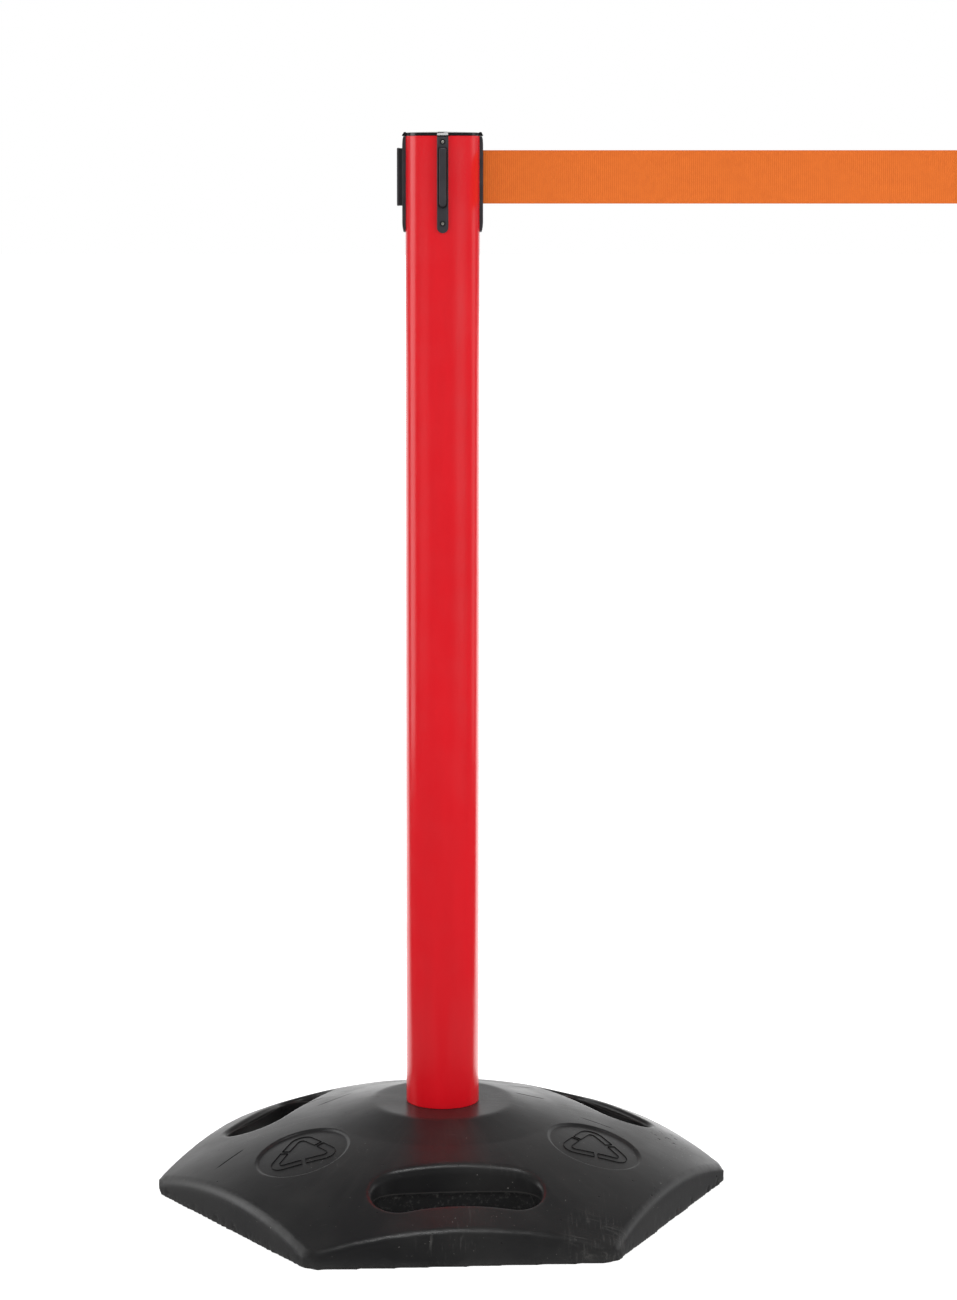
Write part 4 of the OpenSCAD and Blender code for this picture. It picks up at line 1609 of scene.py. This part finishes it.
@dataclass
class Head:
    """The cap, the three receivers, the belt mouth and their screws.

    seat, face and rail_out are distances from the post's axis. A pair is a width and a height
    for nozzle and mouth, an inner and an outer radius for the spigot, corner radii at foot
    and head where its name ends in _r, two heights where it ends in _z, and half a length
    and half a width for a screw's cross.
    """

    finishes: Finishes
    face: float = 38 * MM
    seat: float = 34.4 * MM
    plate_w: float = 10.6 * MM
    rail_w: float = 6.8 * MM
    rail_out: float = 43 * MM
    rail_head: float = 2.4 * MM
    rail_neck: float = 3.2 * MM
    rail_z: tuple[float, float] = (946.3 * MM, 1000.8 * MM)
    screw_z: tuple[float, float] = (1006.2 * MM, 930.4 * MM)
    bore_d: float = 5.2 * MM
    bore_depth: float = 2.7 * MM
    nozzle: tuple[float, float] = (6.6 * MM, 55 * MM)
    mouth: tuple[float, float] = (2.4 * MM, 51 * MM)
    rim_r: float = 35 * MM
    rim_z: tuple[float, float] = (1012 * MM, 1014.6 * MM)
    rim_ease: float = 0.25 * MM
    shoulder_ease: float = 0.4 * MM
    spigot: tuple[float, float] = (23.8 * MM, 30.8 * MM)
    brow: float = 3.6 * MM
    lug_ease: float = 0.35 * MM
    plate_ease: float = 0.6 * MM
    recess_r: tuple[float, float] = (4.1 * MM, 2.2 * MM)
    recess_depth: float = 2.6 * MM
    neck_r: tuple[float, float] = (1.4 * MM, 0.3 * MM)
    rail_r: tuple[float, float] = (3.3 * MM, 1.6 * MM)
    screw_r: float = 1.5 * MM
    shank_r: float = 1.1 * MM
    shank_l: float = 10 * MM
    head_l: float = 1.8 * MM
    cross_half: tuple[float, float] = (1.0 * MM, 0.2 * MM)
    cross_depth: float = 0.9 * MM

    def build(self) -> None:
        """Make the head's pieces."""
        self.cap()
        for side in (Side.FRONT, Side.LEFT, Side.BACK):
            self.receiver(side)
        self.belt_mouth()
        self.screws()

    def cap(self) -> None:
        """Make the domed cap, with a lug over each plate."""
        low, shoulder = self.rim_z
        top, ease, small = CAD_BOX[1].z, self.shoulder_ease, self.rim_ease
        crown_r, rings = self.rim_r - ease, 14
        inner, outer = self.spigot
        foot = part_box("head_cap")[0].z
        crown = [
            (crown_r * i / rings, top - (top - shoulder - ease) * (i / rings) ** 2)
            for i in range(rings - 1, -1, -1)
        ]
        profile = (
            [(0.0, low), (inner, low), (inner, foot), (outer, foot), (outer, low)]
            + arc((self.rim_r - small, low + small), small, -90, 0, 3)
            + arc((crown_r, shoulder), ease, 0, 90, 5)
            + crown
        )
        cap = lathe(profile, 144, "black_cap", ring=False)
        for side in Side:
            carve(cap, face_side(self.lug(low, top), side), join=True)
        finish_mesh(cap, self.finishes.gloss_black, sharp=12)
        place(cap, Body.POST, ["head_cap"])

    def lug(self, low: float, top: float) -> bpy.types.Object:
        """Make the cap's lug over a plate, sloped back at its brow.

        Args:
            low: The height of the cap's rim.
            top: The height of its crown.

        Returns:
            The lug, facing +X.
        """
        half, front = self.plate_w / 2 - 0.1 * MM, self.seat + MM
        outline = oblong(half, low - 0.3 * MM, top - 0.5 * MM, 0.3 * MM, 1.2 * MM)
        bm = prism(outline, self.seat, self.face)
        brow = top - self.brow
        slice_level(bm, brow)
        for vert in bm.verts:
            if vert.co.x > front and vert.co.z > brow:
                vert.co.x -= (vert.co.z - brow) / 2

        def outer(edge: bmesh.types.BMEdge) -> bool:
            """Tell whether an edge is a corner of the lug's front."""
            return all(v.co.x > front for v in edge.verts) and edge.calc_face_angle(0.0) > 0.6

        round_edges(bm, self.lug_ease, 3, outer)
        return solid_from(bm, "lug")

    def plate(self, name: str) -> bpy.types.Object:
        """Make a plate with a round foot, eased ends and two sunk screw holes.

        Args:
            name: The plate's name.

        Returns:
            The plate, facing +X.
        """
        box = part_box("receiver_left")
        low, high, half = box[0].z, box[1].z, self.plate_w / 2
        outline = [(half, high), (-half, high)] + arc((0, low + half), half, 180, 360, 24)
        bm = prism(outline, self.seat, self.face)
        levels = [low, low + 5 * MM, low + 9 * MM, high - 8 * MM, high - 3 * MM, high]
        backs = [1.1 * MM, 0.3 * MM, 0.0, 0.0, 0.3 * MM, 1.0 * MM]
        for level in levels[1:-1]:
            slice_level(bm, level)
        for vert in bm.verts:
            if vert.co.x > self.face - 10 * WELD:
                vert.co.x -= float(np.interp(vert.co.z, levels, backs))
        front = self.face - 1.5 * MM
        round_edges(bm, self.plate_ease, 3, lambda e: all(v.co.x > front for v in e.verts))
        plate, sides = solid_from(bm, name), 32
        for level in self.screw_z:
            ring = arc((0, level), self.bore_d / 2, 0, 360 - 360 / sides, sides - 1)
            bm = prism(ring, self.face - self.bore_depth, self.face + MM)
            carve(plate, solid_from(bm, "screw_bore"))
        return plate

    def receiver(self, side: Side) -> None:
        """Make a receiver: a plate that carries a T rail for a belt clip.

        Args:
            side: The side of the post that it is on.
        """
        item = self.plate(f"receiver_plate_{side.name.lower()}")
        low, high = self.rail_z
        half, gap, gap_low, gap_high = self.rail_w / 2, 1.0 * MM, 1.9 * MM, 0.5 * MM
        back, front = self.rail_out - self.rail_head, self.rail_out - MM
        outline = oblong(half + gap, low - gap_low, high + gap_high, *self.recess_r)
        bm = prism(outline, self.face - self.recess_depth, self.face + MM)
        carve(item, solid_from(bm, "stop_recess"))
        outline = oblong(self.rail_neck / 2, low + 0.2 * MM, high - 0.3 * MM, *self.neck_r)
        bm = prism(outline, self.face - 3 * MM, back + 0.6 * MM)
        carve(item, solid_from(bm, "rail_neck"), join=True)
        bm = prism(oblong(half, low, high, *self.rail_r), back, self.rail_out)
        round_edges(bm, 1.0 * MM, 4, lambda e: all(v.co.x > front for v in e.verts))
        round_edges(bm, 0.3 * MM, 2)
        carve(item, solid_from(bm, "rail_head"), join=True)
        finish_mesh(item, self.finishes.grey, sharp=35)
        face_side(item, side)
        place(item, Body.POST, [f"receiver_{side.name.lower()}"])

    def belt_mouth(self) -> None:
        """Make the mouth: a plate with a nozzle and a flared slot for the belt."""
        item = self.plate("belt_mouth_plate")
        middle = belt_level()
        bore_r, deep, flare, corner = self.rim_r - 4 * MM, 0.8 * MM, 1.75, 0.5 * MM
        half_w, half_h = self.nozzle[0] / 2, self.nozzle[1] / 2
        outline = oblong(half_w, middle - half_h, middle + half_h, corner, corner)
        carve(item, solid_from(prism(outline, bore_r, self.face - MM), "nozzle"), join=True)
        half_w, half_h = self.mouth[0] / 2, self.mouth[1] / 2
        slot = oblong(half_w, middle - half_h, middle + half_h, half_w * 0.9, half_w * 0.9)
        carve(item, solid_from(prism(slot, bore_r - MM, self.face + MM), "slot"))
        bm = prism(slot, self.face - deep, self.face + 0.2 * MM)
        for vert in bm.verts:
            if vert.co.x > self.face:
                vert.co.y *= flare
        carve(item, solid_from(bm, "flare"))
        finish_mesh(item, self.finishes.grey, sharp=35)
        place(item, Body.POST, ["belt_mouth"])

    def screws(self) -> None:
        """Make the eight sunk screws as one piece, each with a cross recess."""
        floor = self.face - self.bore_depth
        screw = self.screw()
        bm = bmesh.new()
        lay = Matrix.Rotation(math.pi / 2, 4, "Y")
        for number, side in enumerate(Side):
            for level in self.screw_z:
                count = len(bm.verts)
                bm.from_mesh(screw.data)
                spin = Matrix.Rotation(math.radians(37 * number + level * 9e4), 4, "Z")
                out = Matrix.Translation((floor - self.shank_l, 0, level))
                turn = Matrix.Rotation(math.radians(side.value), 4, "Z")
                bm.verts.ensure_lookup_table()
                bmesh.ops.transform(bm, matrix=turn @ out @ lay @ spin, verts=bm.verts[count:])
        bpy.data.objects.remove(screw)
        item = solid_from(bm, "head_screws")
        finish_mesh(item, self.finishes.screw, sharp=35)
        place(item, Body.POST, ["receiver_screws"])

    def screw(self) -> bpy.types.Object:
        """Make one screw with a domed head and a cross recess.

        Returns:
            The screw, upright, with the end of its shank at the origin.
        """
        under, top, ease = self.shank_l, self.shank_l + self.head_l, 0.5 * MM
        profile = (
            [(0.0, 0.0), (self.shank_r, 0.0), (self.shank_r, under), (self.screw_r, under)]
            + arc((self.screw_r - ease, top - 0.7 * MM), ease, 0, 65, 4)
            + [(0.7 * MM, top - 0.08 * MM), (0.0, top)]
        )
        screw = lathe(profile, 28, "screw", ring=False)
        long, thin = self.cross_half
        outline = [(-long, -thin), (long, -thin), (long, thin), (-long, thin)]
        for turn in (0, 90):
            bm = prism(outline, top - self.cross_depth, top + 0.7 * MM, Axis.Z)
            cross = solid_from(bm, "cross")
            cross.data.transform(Matrix.Rotation(math.radians(turn), 4, "Z"))
            carve(screw, cross)
        return screw


@dataclass
class Cassette:
    """The spring cassette inside the tube."""

    finishes: Finishes

    def build(self) -> None:
        """Dress the cassette's pieces."""
        dress(["cassette_cup", "cassette_lid"], self.finishes.black)
        dress(["spindle", "spindle_clip"], self.finishes.zinc)
        dress(["lower_bush", "upper_bush", "spool_hub", "spool_flange"], self.finishes.nylon)
        dress(["power_spring"], self.finishes.spring)
        dress(["belt_roll"], self.finishes.webbing)


# -------------------------------------------------------------------- the belt


@dataclass
class Belt:
    """The pulled-out belt."""

    finishes: Finishes
    width: float = 50 * MM
    thick: float = 0.5 * MM
    selvedge: float = 0.75 * MM
    start_x: float = 33 * MM
    tail: float = 1.5 * MM
    stretch: tuple[float, float] = (0.1, 0.4)

    def build(self) -> None:
        """Make the belt."""
        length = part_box("clip_body")[0].x + self.tail - self.start_x
        middle, outline = belt_level(), self.section(self.width / 2)
        bm = bmesh.new()
        near = [bm.verts.new((self.start_x, y, middle + z)) for y, z in outline]
        face = bm.faces.new(near)
        far = bmesh.ops.extrude_face_region(bm, geom=[face])
        moved = [v for v in far["geom"] if isinstance(v, bmesh.types.BMVert)]
        bmesh.ops.translate(bm, vec=(length, 0, 0), verts=moved)
        belt = solid_from(bm, "belt_ribbon")
        finish_mesh(belt, self.finishes.webbing, sharp=40)
        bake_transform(belt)
        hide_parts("belt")
        faces = len(belt.data.polygons)
        LOG.info("%s: %d faces, stretches from post to belt_end", belt.name, faces)

    def section(self, half: float) -> list[Spot]:
        """Draw the belt's section: thin, with a bead along each edge.

        Args:
            half: Half the belt's width.

        Returns:
            Its corners, as Y and Z.
        """
        web, bead = self.thick / 2, self.selvedge / 2
        top = arc((0, half - bead), bead, 0, 180, 8)
        foot = arc((0, -half + bead), bead, 180, 360, 8)
        rise = half - 2.6 * bead
        return [(web, rise)] + top + [(-web, rise), (-web, -rise)] + foot + [(web, -rise)]


@dataclass
class Clip:
    """The clip at the belt's end: a body with a T channel, its cap and the loop's pin.

    loop is how far in the loop's hole lies and its radius. head and neck are the width and
    the depth of the channel's two parts.
    """

    finishes: Finishes
    ease: float = 2 * MM
    wall: float = 2 * MM
    loop: tuple[float, float] = (3.92 * MM, 2.32 * MM)
    belt_gap: float = 0.5 * MM
    head: tuple[float, float] = (7.6 * MM, 3.2 * MM)
    neck: tuple[float, float] = (4.6 * MM, 2.2 * MM)
    edge_r: float = 0.45 * MM

    def build(self) -> None:
        """Make the clip's pieces."""
        low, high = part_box("clip_body")
        body = self.block(low, high, "clip_shell")
        top = high.z + self.wall
        loop_x, loop_r = low.x + self.loop[0], self.loop[1]
        ring = arc((loop_x, 0), loop_r, 0, 350, 35)
        self.cut(body, ring, low.z + self.wall, top)
        self.cut(body, self.plan(low.x - MM, loop_x, self.belt_gap), low.z + self.wall, top)
        lip_x = high.x - self.neck[1]
        self.cut(body, self.plan(lip_x - self.head[1], lip_x, self.head[0] / 2), low.z - MM, top)
        self.cut(body, self.plan(lip_x - 0.1 * MM, high.x + MM, self.neck[0] / 2), low.z - MM, top)
        finish_mesh(body, self.finishes.black, sharp=35)
        place(body, Body.BELT_END, ["clip_body"])
        lid = self.block(*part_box("clip_cap"), "clip_lid")
        finish_mesh(lid, self.finishes.black, sharp=35)
        place(lid, Body.BELT_END, ["clip_cap"])
        dress(["loop_pin"], self.finishes.zinc)

    def plan(self, start: float, end: float, half: float) -> list[Spot]:
        """Give a rectangle's outline along X, centred on the belt."""
        return [(start, -half), (end, -half), (end, half), (start, half)]

    def cut(self, item: bpy.types.Object, outline: list[Spot], low: float, high: float) -> None:
        """Cut an upright hole of an outline."""
        carve(item, solid_from(prism(outline, low, high, Axis.Z), "hole"))

    def block(self, low: Vector, high: Vector, name: str) -> bpy.types.Object:
        """Make an upright block with rounded far corners and soft edges.

        Args:
            low: Its lowest corner.
            high: Its highest corner.
            name: Its name.

        Returns:
            The block.
        """
        r, half, start, step = self.ease, high.y, low.x, 0.4 * MM
        outline = (
            [(start + 0.3 * MM, step - half), (start + MM, -half)]
            + arc((high.x - r, r - half), r, -90, 0, 6)
            + arc((high.x - r, half - r), r, 0, 90, 6)
            + [(start + MM, half), (start + 0.3 * MM, half - step)]
            + [(start, half - MM), (start, MM - half)]
        )
        bm = prism(outline, low.z, high.z, Axis.Z)

        def level(edge: bmesh.types.BMEdge) -> bool:
            """Tell whether an edge lies in the block's foot or top."""
            heights = [v.co.z for v in edge.verts]
            return any(all(abs(z - end) < 10 * WELD for z in heights) for end in (low.z, high.z))

        round_edges(bm, self.edge_r, 3, level)
        return solid_from(bm, name)


# ------------------------------------------------------------------ the studio


@dataclass
class Studio:
    """Camera, lamps, pale floor and the room round them."""

    camera_back: float = 3.1752
    camera_z: float = 0.9955
    tilt: float = 0.10
    lens_mm: float = 93.10985
    sensor_mm: float = 36.0
    shift: tuple[float, float] = (0.027577, -0.122462)
    floor_half: float = 30.0
    middle: tuple[float, float, float] = (0.0, 0.0, 0.5)

    def build(self) -> None:
        """Set up everything that isn't part of the object."""
        scene = bpy.context.scene
        scene.view_settings.view_transform = "Standard"
        scene.world = RoomFinish().build()
        self.camera()
        self.floor()
        self.lamp("key_softbox", (2.5, -1.5, 0.85), size=(1.8, 1.5), power=27.0)
        self.lamp("fill_softbox", (-2.5, -1.4, 0.85), size=(1.6, 1.5), power=21.0)
        self.lamp("left_strip", (-1.9, 0.55, 0.7), size=(0.8, 2.2), power=9.5, mirrored=True)
        self.lamp("right_strip", (1.9, 0.75, 0.7), size=(0.6, 2.2), power=2.4, mirrored=True)
        self.lamp("top_softbox", (0.05, -1.45, 3.05), size=(0.8, 0.45), power=16.0, mirrored=True)

    def camera(self) -> None:
        """Place the camera, tilted a little down, with a small shift."""
        data = bpy.data.cameras.new("camera")
        data.sensor_width, data.lens = self.sensor_mm, self.lens_mm
        data.shift_x, data.shift_y = self.shift
        item = bpy.data.objects.new("camera", data)
        bpy.context.scene.collection.objects.link(item)
        item.location = (0, -self.camera_back, self.camera_z)
        item.rotation_euler = (math.pi / 2 - self.tilt, 0, 0)
        bpy.context.scene.camera = item

    def floor(self) -> None:
        """Lay a wide pale floor that the camera sees as nearly white."""
        bm = bmesh.new()
        bmesh.ops.create_grid(bm, x_segments=1, y_segments=1, size=self.floor_half)
        mesh = bpy.data.meshes.new("floor")
        bm.to_mesh(mesh)
        bm.free()
        item = add_object("floor", mesh)
        mesh.materials.append(FloorFinish().build())

    def lamp(
        self, name: str, spot: Sequence[float], size: tuple[float, float], power: float,
        mirrored: bool = False,
    ) -> None:
        """Hang a softbox that only lights surfaces, or only shows in their gloss.

        Args:
            name: The lamp's name.
            spot: Where it hangs, facing the object's middle.
            size: Its width and height.
            power: Its power in watts.
            mirrored: True for a softbox that shows in gloss and gives no other light.
        """
        data = bpy.data.lights.new(name, "AREA")
        data.shape = "RECTANGLE"
        data.size, data.size_y = size
        data.energy = power
        item = bpy.data.objects.new(name, data)
        bpy.context.scene.collection.objects.link(item)
        item.location = spot
        aim = Vector(self.middle) - Vector(spot)
        item.rotation_euler = aim.to_track_quat("-Z", "Y").to_euler()
        item.visible_camera = False
        item.visible_glossy = mirrored
        item.visible_diffuse = not mirrored


def main() -> None:
    """Build the studio and every sub-assembly, in order."""
    logging.basicConfig(level=logging.INFO, format="%(name)s: %(message)s")
    Studio().build()
    finishes = Finishes()
    RubberBase(finishes.rubber, finishes.mark).build()
    Post(finishes).build()
    Head(finishes).build()
    Cassette(finishes).build()
    Belt(finishes).build()
    Clip(finishes).build()


if __name__ == "__main__":
    main()
